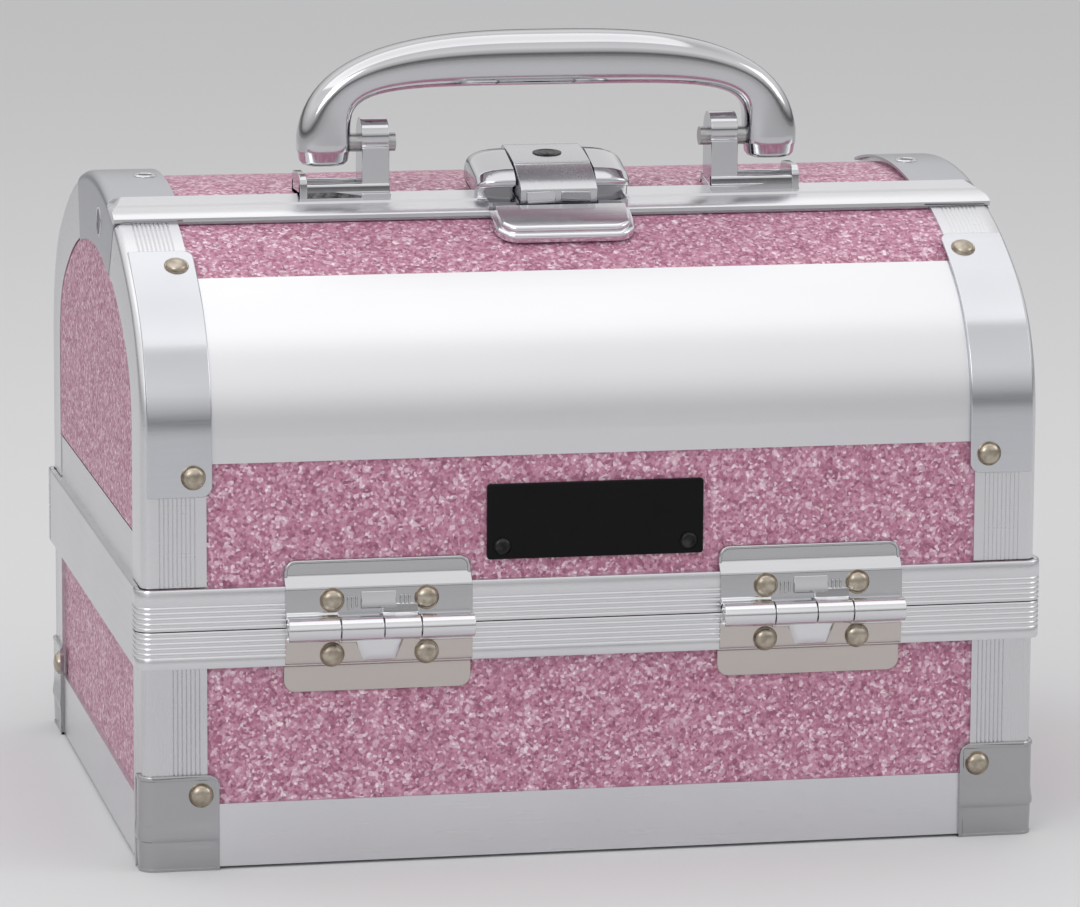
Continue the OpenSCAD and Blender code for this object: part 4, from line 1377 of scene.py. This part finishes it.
    def bulge(self, bm: bmesh.types.BMesh) -> None:
        """Adds the pressed bulge with slanting sides below the knuckles.

        Args:
            bm: The mesh that it is added to.
        """
        face = -(self.case.half_d + self.case.band_proud + self.sheet)
        z = self.case.seam_z
        rings = []
        for top_half, low_half, low, out in self.bulge_rings:
            plan = rounded([(-top_half, -2.2), (top_half, -2.2), (low_half, -low),
                            (-low_half, -low)], (0, 0, 0.8, 0.8), steps=3)
            rings.append([(self.middle + x, face - out, z + dz) for x, dz in plan])
        loft(bm, rings)

    def build(self) -> None:
        """Builds both leaves with their knuckles."""
        lid = Body.FRONT_LID if self.front is Front.FRONT else Body.REAR_LID
        leaves = ((1, lid, PLATED, "lid_leaf"), (-1, Body.BOX, WARM, "base_leaf"))
        for up, body, finish, node in leaves:
            leaf = self.leaf_mesh(up)
            if up > 0:
                self.rim(leaf)
                self.tab(leaf)
            to_rear(leaf, self.front)
            finish_piece(f"{self.label}_{node}_plate", leaf, finish,
                         Place(body, (f"{self.label}_{node}",)), bevel=0.15)
            rolls = self.knuckles(up)
            if up < 0:
                self.bulge(rolls)
            to_rear(rolls, self.front)
            # Knuckles in the lighter copy of the leaves' steel: painted highlight.
            finish_piece(f"{self.label}_{node}_knuckles", rolls, LIT_PLATED_STEEL, Place(body),
                         bevel=0.15)


# ---- Handle ----


@dataclass(frozen=True)
class Bail:
    """Half of a superellipse that bounds the handle, over a base line."""

    half: float
    base: float
    height: float
    power: float

    def level(self, x: float, z: float) -> float:
        """Below 1 inside the curve and above 1 outside it."""
        rise = max(z - self.base, 0) / self.height
        return (abs(x) / self.half) ** self.power + rise ** self.power

    def above(self, x: float) -> Vector:
        """The curve's point at x."""
        share = 1 - (abs(x) / self.half) ** self.power
        return Vector((x, self.base + self.height * share ** (1 / self.power)))

    def along(self, start: Vector, angle: float) -> Vector:
        """Where a ray from a point inside meets the curve.

        Args:
            start: The point.
            angle: The ray's angle from +X, in degrees.

        Returns:
            The meeting point.
        """
        ray = Vector((math.cos(math.radians(angle)), math.sin(math.radians(angle))))
        low, high = 0.0, 60.0
        for _ in range(40):
            middle = (low + high) / 2
            spot = start + ray * middle
            low, high = (middle, high) if self.level(*spot) < 1 else (low, middle)
        return start + ray * low


@dataclass
class Handle:
    """The bail handle and the two cast mounts that hold it."""

    case: CaseShape
    fore: float = 28.0
    rise: float = 11.5
    leg_depth: float = 12.5
    grip_depth: float = 17.0
    corner: Point = (44.0, 2.0)
    points: int = 48
    squareness: float = 2.9
    post: Point = (44.3, 51.7)
    post_d: float = 10.0
    wall: Point = (66.7, 68.7)
    channel: Point = (-33.5, -20.5)
    lip_t: float = 1.8
    top_curve: tuple[float, ...] = (69.0, -6.5, 36.1, 2.8)
    under_curve: tuple[float, ...] = (54.3, 0.0, 14.8, 4.8)
    foot: tuple[Point, ...] = ((8.0, 0.3), (7.9, 0.62), (7.5, 0.80), (6.6, 0.905), (4.2, 0.965),
                               (3.9, 1.0), (2.0, 1.0))

    @property
    def axis_z(self) -> float:
        """Height of the handle's axis."""
        return self.case.spring_z + self.case.arch_rise + self.rise

    def ring(self, outer: Vector, inner: Vector, size: float = 1.0) -> list[Vector]:
        """A section of the bar between two points of its outline.

        Args:
            outer: The outer point in the XZ plane.
            inner: The inner one.
            size: Factor of its size.

        Returns:
            Its points.
        """
        middle, half = (outer + inner) / 2, (outer - inner) / 2 * size
        swell = 1 - min(1.0, (middle.x / 60.0) ** 2)
        depth = (self.leg_depth + (self.grip_depth - self.leg_depth) * swell) / 2 * size
        power, result = 2.0 / self.squareness, []
        for k in range(self.points):
            angle = math.tau * k / self.points
            c, s = math.cos(angle), math.sin(angle)
            spot = middle + half * math.copysign(abs(c) ** power, c)
            result.append(Vector((spot.x, depth * math.copysign(abs(s) ** power, s) - self.fore,
                                  spot.y)))
        return result

    def grip(self) -> None:
        """The bar, thick in the middle, with legs that end in a flattened foot."""
        top, under = (Bail(half, self.axis_z + base, height, power)
                      for half, base, height, power in (self.top_curve, self.under_curve))
        start = Vector((self.corner[0], self.axis_z + self.corner[1]))
        bend = [(top.along(start, 6.0 * k), under.along(start, 6.0 * k)) for k in range(15)]
        arch = [(top.above(x), under.above(x))
                for x in (self.corner[0] * (1 - k / 20) for k in range(21))]
        foot = [self.ring(*(Vector((spot.x, start.y - drop)) for spot in bend[0]), size)
                for drop, size in self.foot]
        half = [*foot, *[self.ring(*pair) for pair in [*bend, *arch]]]
        mirrored = [[Vector((-point.x, point.y, point.z)) for point in ring]
                    for ring in reversed(half[:-1])]
        bm = bmesh.new()
        loft(bm, [*half, *mirrored])
        finish_piece("bail_handle", bm, CHROME, Place(Body.HANDLE, ("handle",)), sharp_deg=40.0)

    def mount(self, side: Side) -> None:
        """A cast mount: an open channel with an end wall, and a post with a rolled top.

        Args:
            side: The end of the case that it is nearer to.
        """
        case = self.case
        y0, y1 = self.channel
        x0, x1 = self.post
        w0, w1 = self.wall
        seat = {y: case.top_z(y, 0.9 if y < -28.5 else -0.6) for y in (y0, -28.6, -28.4, y1)}
        sole = list(seat.items())
        deck = self.axis_z - 12.6
        lip = self.axis_z - 10.4
        bm = bmesh.new()
        prism(bm, side_view([*sole, (y1, deck), (y0, deck)], x0), (w1 - x0, 0, 0))
        for start, y, fore_r in ((y0, y0, 0.9), (y1 - self.lip_t, y1, 0.5)):
            side_lip = rounded([(start, seat[y]), (start + self.lip_t, seat[y]),
                                (start + self.lip_t, lip), (start, lip)],
                               (0, 0, 0.5, fore_r), steps=4)
            prism(bm, side_view(side_lip, x0), (w1 - x0, 0, 0))
        wall_top = self.axis_z - 7.8
        wall = rounded([(y0 - 0.3, seat[y0]), (y1 + 0.3, seat[y1]), (y1 + 0.3, wall_top),
                        (y0 - 0.3, wall_top)], (0, 0, 3.0, 3.0), steps=6)
        prism(bm, side_view(wall, w0), (w1 - w0, 0, 0))
        half, middle = self.post_d / 2, -self.fore
        centre = self.axis_z + 1.7
        roll = [(middle + half * math.cos(a), centre + half * math.sin(a))
                for a in (math.radians(15.0 * k) for k in range(0, 14))]
        neck = roll[-1][1] - 0.4
        front = middle - half
        post = [(middle + half, seat[y1]), *roll, (front + 0.55, neck), (front + 0.55, neck - 0.6),
                (front, neck - 1.0), (front, seat[y0] + 0.2)]
        prism(bm, side_view(post, x0), (x1 - x0, 0, 0))
        shoe = [(y0 - 0.3, seat[y0]), (middle + half, seat[y1]), (middle + half, deck + 1.0),
                (y0 - 0.3, deck - 0.6)]
        prism(bm, side_view(shoe, x0 - 0.3), (x1 - x0 + 0.6, 0, 0))
        if side is Side.LEFT:
            bmesh.ops.scale(bm, verts=bm.verts, vec=(-1, 1, 1))
            bmesh.ops.reverse_faces(bm, faces=bm.faces)
        name = side.name.lower()
        finish_piece(f"{name}_handle_mount", bm, CHROME,
                     Place(Body.REAR_LID, (f"{name}_handle_bracket",)), bevel=0.35)

    def build(self) -> None:
        """Builds the handle and its mounts."""
        self.grip()
        for side in Side:
            self.mount(side)


# ---- Latch ----


@dataclass
class Latch:
    """The latch: shoulders and base on the rear lid, a lever, a barrel and the keeper."""

    case: CaseShape
    fore: float = 28.0
    half_w: float = 21.0
    lever_half: float = 10.5
    back: float = 14.5
    pivot: Point = (10.5, 5.65)
    round_r: float = 4.15
    barrel_y: float = 3.0
    barrel_r: float = 2.3
    keeper_half: float = 19.0
    keeper_l: float = 13.8
    keeper_layers: tuple[tuple[float, float, float], ...] = ((0.0, -0.6, 1.7), (-1.3, 1.5, 3.3))
    shoulder_steps: tuple[Point, ...] = ((0.5, 1.0), (3.5, 0.985), (6.0, 0.95), (8.2, 0.88),
                                         (9.6, 0.79), (10.3, 0.70), (10.5, 0.64))
    lever_top: tuple[Point, ...] = ((4.0, 10.15), (-4.0, 9.95), (-4.25, 9.3), (-4.75, 9.3),
                                    (-5.0, 9.55), (-11.6, 7.7), (-14.2, 6.5), (-14.9, 5.9),
                                    (-15.05, 5.2))
    lever_under: tuple[Point, ...] = ((-15.05, 2.2), (-14.4, 1.6), (-7.0, 2.4), (-5.5, 4.6),
                                      (5.5, 4.8))
    pads: tuple[tuple[float, float, float], ...] = ((-4.9, 5.0, -4.0), (4.6, -4.0, 5.0))
    pad_half: tuple[float, float, float] = (4.0, 0.45, 1.65)
    pad_spot: Point = (-15.0, 3.75)
    oval: Point = (4.0, 2.75)
    oval_z: Point = (9.6, 0.72)
    barrel_z: Point = (8.15, 4.6)

    @property
    def angle(self) -> float:
        """Tilt of the latch's frame, in degrees."""
        return math.degrees(math.asin(self.fore / self.case.crown_r))

    def placed(self, name: str, bm: bmesh.types.BMesh, finish: Finish, place: Place,
               bevel: float) -> None:
        """Moves a mesh from the latch's frame onto the case and finishes it."""
        bmesh.ops.transform(bm, matrix=self.case.on_crown(self.angle), verts=bm.verts)
        finish_piece(name, bm, finish, place, bevel=bevel)

    def body(self) -> None:
        """The two domed shoulders, their recesses and the base with its wings."""
        bm = bmesh.new()
        side = rounded([(self.back - 0.3, 0.6), (self.back - 0.3, 8.2), (6.0, 10.0), (-6.5, 9.0),
                        (-10.2, 7.0), (-10.2, 5.0), (-6.6, 4.6), (-6.6, 0.6)],
                       (0, 4.6, 6.0, 2.5, 1.2, 0.8, 0, 0), steps=8)
        for sign in (-1, 1):
            rings = [[(sign * (self.lever_half + dx), 1.0 + (y - 1.0) * (1 - (1 - size) * 0.7),
                       0.6 + (z - 0.6) * size) for y, z in side]
                     for dx, size in self.shoulder_steps]
            loft(bm, rings)
        slope = rounded([(-self.half_w, -8.6), (self.half_w, -8.6), (self.half_w, self.back),
                         (-self.half_w, self.back)], (1.0, 1.0, 7.0, 7.0))
        prism(bm, [Vector((*p, -0.6)) for p in slope], (0, 0, 1.6))
        front = -(self.case.seam_fore - self.fore) / math.cos(math.radians(self.angle)) + 0.4
        inner = self.lever_half + 0.4
        for sign in (-1, 1):
            box(bm, (sign * inner, front, 0.2), (sign * self.keeper_half, -6.0, 2.5))
        box(bm, (-inner, front, 0.2), (inner, -6.0, 1.1))
        self.placed("latch_shoulders", bm, CHROME, Place(Body.REAR_LID, ("latch_body",)), 0.3)

    def lever(self) -> None:
        """The lever: a satin cap with a rounded end, a second slope and a blunt nose."""
        py, pz = self.pivot
        end = [(py + self.round_r * math.cos(a), pz + self.round_r * math.sin(a))
               for a in (math.radians(15.0 * k) for k in range(-8, 7))]
        side = [*end, *self.lever_top, *self.lever_under]
        bm = slab(side_view(side, -self.lever_half), (2 * self.lever_half, 0, 0))
        self.placed("latch_lever_plate", bm, CAST, Place(Body.LATCH_LEVER, ("latch_lever",)),
                    0.25)
        pads = bmesh.new()
        for middle, turn, tilt in self.pads:
            part = bmesh.new()
            box(part, [-reach for reach in self.pad_half], self.pad_half)
            place = (Matrix.Translation((middle, *self.pad_spot))
                     @ Matrix.Rotation(math.radians(turn), 4, "Z")
                     @ Matrix.Rotation(math.radians(tilt), 4, "X"))
            merge(pads, part, place)
        self.placed("latch_nose_facets", pads, CHROME, Place(Body.LATCH_LEVER), 0.2)
        oval = [(self.oval[0] * math.cos(a), self.barrel_y + self.oval[1] * math.sin(a))
                for a in (math.radians(10.0 * k) for k in range(36))]
        low, height = self.oval_z
        surround = slab([Vector((*p, low)) for p in oval], (0, 0, height))
        self.placed("keyhole_surround", surround, DARK, Place(Body.LATCH_LEVER), 0.1)

    def barrel(self) -> None:
        """The dark lock barrel with its keyhole."""
        bm = bmesh.new()
        middle, height = self.barrel_z
        bmesh.ops.create_cone(bm, cap_ends=True, segments=32, radius1=self.barrel_r,
                              radius2=self.barrel_r, depth=height,
                              matrix=Matrix.Translation((0, self.barrel_y, middle)))
        bmesh.ops.recalc_face_normals(bm, faces=bm.faces)
        top = [face for face in bm.faces if face.normal.z > 0.9]
        bmesh.ops.inset_individual(bm, faces=top, thickness=0.5, depth=-0.25)
        box(bm, (-0.3, self.barrel_y - 1.3, 9.8), (0.3, self.barrel_y + 1.3, 10.4))
        self.placed("keyhole_barrel", bm, DARK, Place(Body.LOCK_BARREL, ("lock_barrel",)), 0.08)

    def keeper(self) -> None:
        """The keeper plate with its double rim, on the front lid."""
        case = self.case
        y = -case.seam_fore - self.keeper_l / 2
        angle = math.degrees(math.asin(-y / case.crown_r))
        length = self.keeper_l / math.cos(math.radians(angle)) / 2 - 0.4
        bm = bmesh.new()
        for grow, low, high in self.keeper_layers:
            w = self.keeper_half + grow
            plan = rounded([(-w, length), (-w, -length - grow), (w, -length - grow),
                            (w, length)], (0, 6.0 + grow, 6.0 + grow, 0), steps=8)
            part = slab([Vector((*p, low)) for p in plan], (0, 0, high - low))
            rim = [edge for edge in part.edges
                   if all(abs(v.co.z - high) < 0.01 and v.co.y < length - 0.01
                          for v in edge.verts)]
            bmesh.ops.bevel(part, geom=rim, offset=1.0, segments=4, profile=0.5,
                            affect="EDGES", material=-1)
            merge(bm, part)
        bmesh.ops.transform(bm, matrix=case.on_crown(angle), verts=bm.verts)
        case.cut_at_seam(bm, Front.FRONT, case.gap / 2)
        # Keeper in the lighter copy of the plated steel: painted highlight.
        finish_piece("latch_keeper_plate", bm, LIT_PLATED_STEEL,
                     Place(Body.FRONT_LID, ("latch_keeper",)), bevel=0.2)

    def build(self) -> None:
        """Builds the latch."""
        self.body()
        self.lever()
        self.barrel()
        self.keeper()


# ---- Plates ----


@dataclass
class Plates:
    """The bare black plate, the top corners' plates, the end arches' fields and the lining."""

    case: CaseShape
    plate_r: float = 0.9
    leg: float = 18.0
    width: float = 18.5
    corner_deg: Point = (-13.5, 21.0)
    corner_r: float = 3.0
    eyelet_deg: float = 2.3
    eyelet_inset: float = 13.5
    dimple: Point = (-13.7, 160.7)
    field_z: float = 87.4
    lid_lining_half: float = 113.0
    lid_lining_z: float = 76.0
    box_lining: Point = (114.6, 87.1)
    box_lining_z: Point = (6.5, 61.0)
    gable_inner_x: float = 114.1
    gable_lining_z: float = 64.5

    def name_plate(self) -> None:
        """The bare black plate on the front lid, with a soft edge."""
        low, high = (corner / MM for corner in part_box("name_plate"))
        plan = rounded([(low.x, low.z), (high.x, low.z), (high.x, high.z), (low.x, high.z)],
                       (self.plate_r,) * 4)
        bm = slab([Vector((x, high.y, z)) for x, z in plan], (0, low.y - high.y, 0))
        finish_piece("bare_black_plate", bm, PLATE, Place(Body.FRONT_LID, ("name_plate",)),
                     bevel=0.3)

    def top_corner(self, side: Side) -> None:
        """A smooth plate behind the strip that turns down onto the end face.

        Args:
            side: The end of the case.
        """
        case = self.case
        start, end = self.corner_deg
        outer = rounded([(-0.12, self.leg), (-0.12, -SHEET), (self.width, -SHEET)],
                        (0, self.corner_r, 0), steps=8)
        inner = [(self.width, 0.0), (2.2, 0.0), (0.0, 2.2), (0.0, self.leg)]
        at = case.on_crown(start)
        section = [at @ Vector((side.value * (case.half_w - u), 0, -d))
                   for u, d in [*outer, *inner]]
        bm = Sweep(section).turn((0, 0, case.crown_z), (1, 0, 0), end - start, 18).close()
        case.cut_at_seam(bm, Front.REAR, case.gap / 2)
        split_y = -case.seam_fore + STRIP_W
        bmesh.ops.bisect_plane(bm, geom=[*bm.verts, *bm.edges, *bm.faces],
                               plane_co=(0, split_y, 0), plane_no=(0, 1, 0))
        over = [face for face in bm.faces for middle in [face.calc_center_median()]
                if middle.y < split_y and abs(middle.x) < case.half_w - 0.02
                and middle.z > case.top_z(middle.y) - 0.9]
        bmesh.ops.delete(bm, geom=over, context="FACES")
        cap_holes(bm)
        name = side.name.lower()
        finish_piece(f"{name}_top_corner_cover", bm, CORNER,
                     Place(Body.REAR_LID, (f"top_{name}_plate",)), bevel=0.2)

    def fasteners(self, side: Side) -> None:
        """The flat eyelet in a top corner's plate, and the round dimple in its end face, each with
        a near-black disc in its bore as painted shade.

        Args:
            side: The end of the case.
        """
        case = self.case
        ring, shade_discs = bmesh.new(), bmesh.new()
        flat = case.on_crown(self.eyelet_deg, SHEET,
                             side.value * (case.half_w - self.eyelet_inset))
        upright = facing_end(side, case.half_w + 0.1, *self.dimple)
        for matrix, outer, bore, stand in ((flat, 3.1, 2.0, 0.45), (upright, 4.2, 3.4, 0.3)):
            curve = [(bore, -0.2), (bore, stand * 0.5), (bore + 0.25, stand),
                     (outer - 0.3, stand), (outer, 0.1), (outer, -0.2)]
            merge(ring, lathe(curve, True, 36), matrix)
            # A near-black disc in the bore: painted shade of the hollow.
            shade_disc = bmesh.new()
            bmesh.ops.create_cone(shade_disc, cap_ends=True, segments=36, radius1=bore + 0.1,
                                  radius2=bore + 0.1, depth=0.3)
            merge(shade_discs, shade_disc, matrix)
        name = side.name.lower()
        finish_piece(f"{name}_top_corner_eyelets", ring, CHROME, Place(Body.REAR_LID))
        finish_piece(f"{name}_top_corner_recesses", shade_discs, RECESS_SHADE, Place(Body.REAR_LID))

    def gable_field(self, side: Side) -> None:
        """The laminate of an end arch, flush with the profiles round it.

        Args:
            side: The end of the case.
        """
        case = self.case
        outline = case.arch_outline(case.flange + 0.4, self.field_z)
        bm = slab(side_view(outline, side.value * (case.half_w - 1.6)), (side.value * 1.45, 0, 0))
        finish_piece(f"{side.name.lower()}_gable_field", bm, PINK, Place(Body.BOX), bevel=0.3)

    def lining(self) -> None:
        """Flocked lining inside both lids, the box's walls and the end arches."""
        case = self.case
        for front, body in LIDS:
            outer, inner = (case.arch_outline(inset, self.lid_lining_z) for inset in (5.4, 5.9))
            bm = slab(side_view([*outer, *reversed(inner)], -self.lid_lining_half),
                      (2 * self.lid_lining_half, 0, 0))
            case.cut_at_seam(bm, front, 1.2)
            finish_piece(f"{body.value}_lining", bm, LINING, Place(body))
        bm = bmesh.new()
        (x, y), (bottom, top), thick = self.box_lining, self.box_lining_z, 0.6
        for sign in (-1, 1):
            box(bm, (sign * x, -y, bottom), (sign * (x - thick), y, top))
            box(bm, (-x + thick, sign * y, bottom), (x - thick, sign * (y - thick), top))
        finish_piece("box_lining", bm, LINING, Place(Body.BOX))
        for side in Side:
            bm = slab(side_view(case.arch_outline(7.0, self.gable_lining_z),
                                side.value * self.gable_inner_x), (-side.value * 0.5, 0, 0))
            finish_piece(f"{side.name.lower()}_gable_lining", bm, LINING, Place(Body.BOX))

    def build(self) -> None:
        """Builds every plate."""
        self.name_plate()
        for side in Side:
            self.top_corner(side)
            self.fasteners(side)
            self.gable_field(side)
        self.lining()


# ---- Finishes of the nodes that keep their CAD shape ----

KEPT_NODES: dict[Finish, tuple[str, ...]] = {
    PINK: ("base_front_panel", "base_rear_panel", "base_left_panel", "base_right_panel",
           "left_gable", "right_gable", "front_lid_panel", "rear_lid_panel"),
    BOARD: ("base_floor",),
    LINING: ("floor_pad",),
    EXTRUDED: ("bottom_rails", "base_rim", "front_lid_rim", "rear_lid_rim",
               "front_lid_edge_rail"),
    EXTRUDED_END: ("left_end_rail", "right_end_rail"),
    SATIN: ("front_lid_sheet",),
    STEEL: ("hinge_pins", "handle_pins", "front_tray_fore_arms", "front_tray_aft_arms",
            "rear_tray_fore_arms", "rear_tray_aft_arms"),
    TRAY: ("front_tray", "rear_tray"),
}


def dress_kept_nodes() -> None:
    """Gives each node that keeps its CAD shape its finish."""
    for finish, names in KEPT_NODES.items():
        for name in names:
            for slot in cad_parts[name].material_slots:
                slot.material = finish.material()
            LOG.info("%s: %s", name, finish.name)


# ---- Studio ----


@dataclass
class Studio:
    """The camera at the photograph's angle, a pale floor and soft light."""

    azimuth: float = -11.797
    elevation: float = 10.021
    roll: float = 0.342
    distance: float = 1.6118
    focal_px: float = 5806.3
    target: tuple[float, float, float] = (0.00428, 0.0, 0.0911)
    floor_half: float = 6.0
    floor_colour: Colour = (0.70, 0.70, 0.71)
    floor_rough: float = 0.9
    lamps: tuple[tuple[str, tuple[float, float, float], float, float], ...] = (
        ("overhead_softbox", (-0.20, -0.02, 1.30), 1.72, 6.5),
        ("front_softbox", (-0.9, -1.5, 0.95), 0.8, 5.0),
        ("right_softbox", (1.3, -0.6, 0.8), 0.7, 2.0))
    ambient: float = 0.68
    surround: tuple[Point, ...] = ((0.0, 0.30), (0.05, 0.10), (0.15, 0.55), (0.40, 0.95),
                                   (0.75, 0.85), (1.0, 0.55))

    def camera(self) -> None:
        """Sets the camera where the photograph was taken from."""
        a, e, r = (math.radians(v) for v in (self.azimuth, self.elevation, self.roll))
        back = Vector((math.sin(a) * math.cos(e), -math.cos(a) * math.cos(e), math.sin(e)))
        right = Vector((math.cos(a), math.sin(a), 0))
        up = back.cross(right)
        across = right * math.cos(r) + up * math.sin(r)
        upright = up * math.cos(r) - right * math.sin(r)
        data = bpy.data.cameras.new("studio_camera")
        data.sensor_width = 36.0
        data.lens = data.sensor_width * self.focal_px / PHOTO_WIDTH
        data.clip_end = 50.0
        camera = bpy.data.objects.new("studio_camera", data)
        turn = Matrix((across, upright, back)).transposed()
        camera.matrix_world = (Matrix.Translation(Vector(self.target) + back * self.distance)
                               @ turn.to_4x4())
        bpy.context.scene.collection.objects.link(camera)
        bpy.context.scene.camera = camera

    def floor(self) -> None:
        """A plain pale floor."""
        bm = bmesh.new()
        bmesh.ops.create_grid(bm, x_segments=1, y_segments=1, size=self.floor_half)
        mesh = bpy.data.meshes.new("studio_floor")
        bm.to_mesh(mesh)
        bm.free()
        material = bpy.data.materials.new("pale_floor")
        graph = Graph(material)
        grain = graph.noise(220.0, 2.0)
        tint = tuple(value * 0.985 for value in self.floor_colour)
        graph.join(graph.mix(grain, self.floor_colour, tint), graph.shader.inputs["Base Color"])
        graph.set(Roughness=self.floor_rough)
        mesh.materials.append(material)
        floor = bpy.data.objects.new("studio_floor", mesh)
        bpy.context.scene.collection.objects.link(floor)

    def lamp(self, name: str, place: Sequence[float], size: float, watts: float) -> None:
        """A soft square lamp that faces the case.

        Args:
            name: Its name.
            place: Where it stands, in metres.
            size: Its width in metres.
            watts: Its power.
        """
        data = bpy.data.lights.new(name, "AREA")
        data.shape = "SQUARE"
        data.size = size
        data.energy = watts
        lamp = bpy.data.objects.new(name, data)
        lamp.location = place
        aim = Vector(self.target) - Vector(place)
        lamp.rotation_euler = aim.to_track_quat("-Z", "Y").to_euler()
        bpy.context.scene.collection.objects.link(lamp)

    def world(self) -> None:
        """A surround with a plain light, and a soft gradient where it is seen or mirrored."""
        world = bpy.data.worlds.new("studio_world")
        world.use_nodes = True
        tree = world.node_tree
        tree.nodes.clear()
        coords = tree.nodes.new("ShaderNodeTexCoord")
        split = tree.nodes.new("ShaderNodeSeparateXYZ")
        tree.links.new(coords.outputs["Generated"], split.inputs["Vector"])
        shade = tree.nodes.new("ShaderNodeValToRGB")
        while len(shade.color_ramp.elements) < len(self.surround):
            shade.color_ramp.elements.new(0.5)
        for element, (place, level) in zip(shade.color_ramp.elements, self.surround):
            element.position = place
            element.color = (level, level, level, 1.0)
        tree.links.new(split.outputs["Z"], shade.inputs["Fac"])
        path = tree.nodes.new("ShaderNodeLightPath")
        shares = [path.outputs[f"Is {kind} Ray"] for kind in ("Camera", "Glossy", "Transmission")]
        seen = shares[0]
        for share in shares[1:]:
            either = tree.nodes.new("ShaderNodeMath")
            either.operation = "MAXIMUM"
            tree.links.new(seen, either.inputs[0])
            tree.links.new(share, either.inputs[1])
            seen = either.outputs["Value"]
        light = tree.nodes.new("ShaderNodeBackground")
        light.inputs["Color"].default_value = (1.0, 1.0, 1.0, 1.0)
        light.inputs["Strength"].default_value = self.ambient
        backdrop = tree.nodes.new("ShaderNodeBackground")
        tree.links.new(shade.outputs["Color"], backdrop.inputs["Color"])
        choice = tree.nodes.new("ShaderNodeMixShader")
        output = tree.nodes.new("ShaderNodeOutputWorld")
        tree.links.new(seen, choice.inputs["Fac"])
        tree.links.new(light.outputs["Background"], choice.inputs[1])
        tree.links.new(backdrop.outputs["Background"], choice.inputs[2])
        tree.links.new(choice.outputs["Shader"], output.inputs["Surface"])
        bpy.context.scene.world = world

    def build(self) -> None:
        """Sets up camera, floor, lamps, surround and the plain view transform."""
        self.camera()
        self.floor()
        self.world()
        for name, place, size, watts in self.lamps:
            self.lamp(name, place, size, watts)
        bpy.context.scene.view_settings.view_transform = "Standard"


def main() -> None:
    """Builds the studio and the case's sub-assemblies in order."""
    logging.basicConfig(level=logging.INFO, format="%(name)s: %(message)s")
    case = case_shape()
    Studio().build()
    dress_kept_nodes()
    EdgeProfiles(case).build()
    Brackets(case).build()
    Rivets(case).build()
    for front in Front:
        for middle in (-HINGE_X, HINGE_X):
            Hinge(case, middle, front).build()
    Handle(case).build()
    Latch(case).build()
    Plates(case).build()


if __name__ == "__main__":
    main()
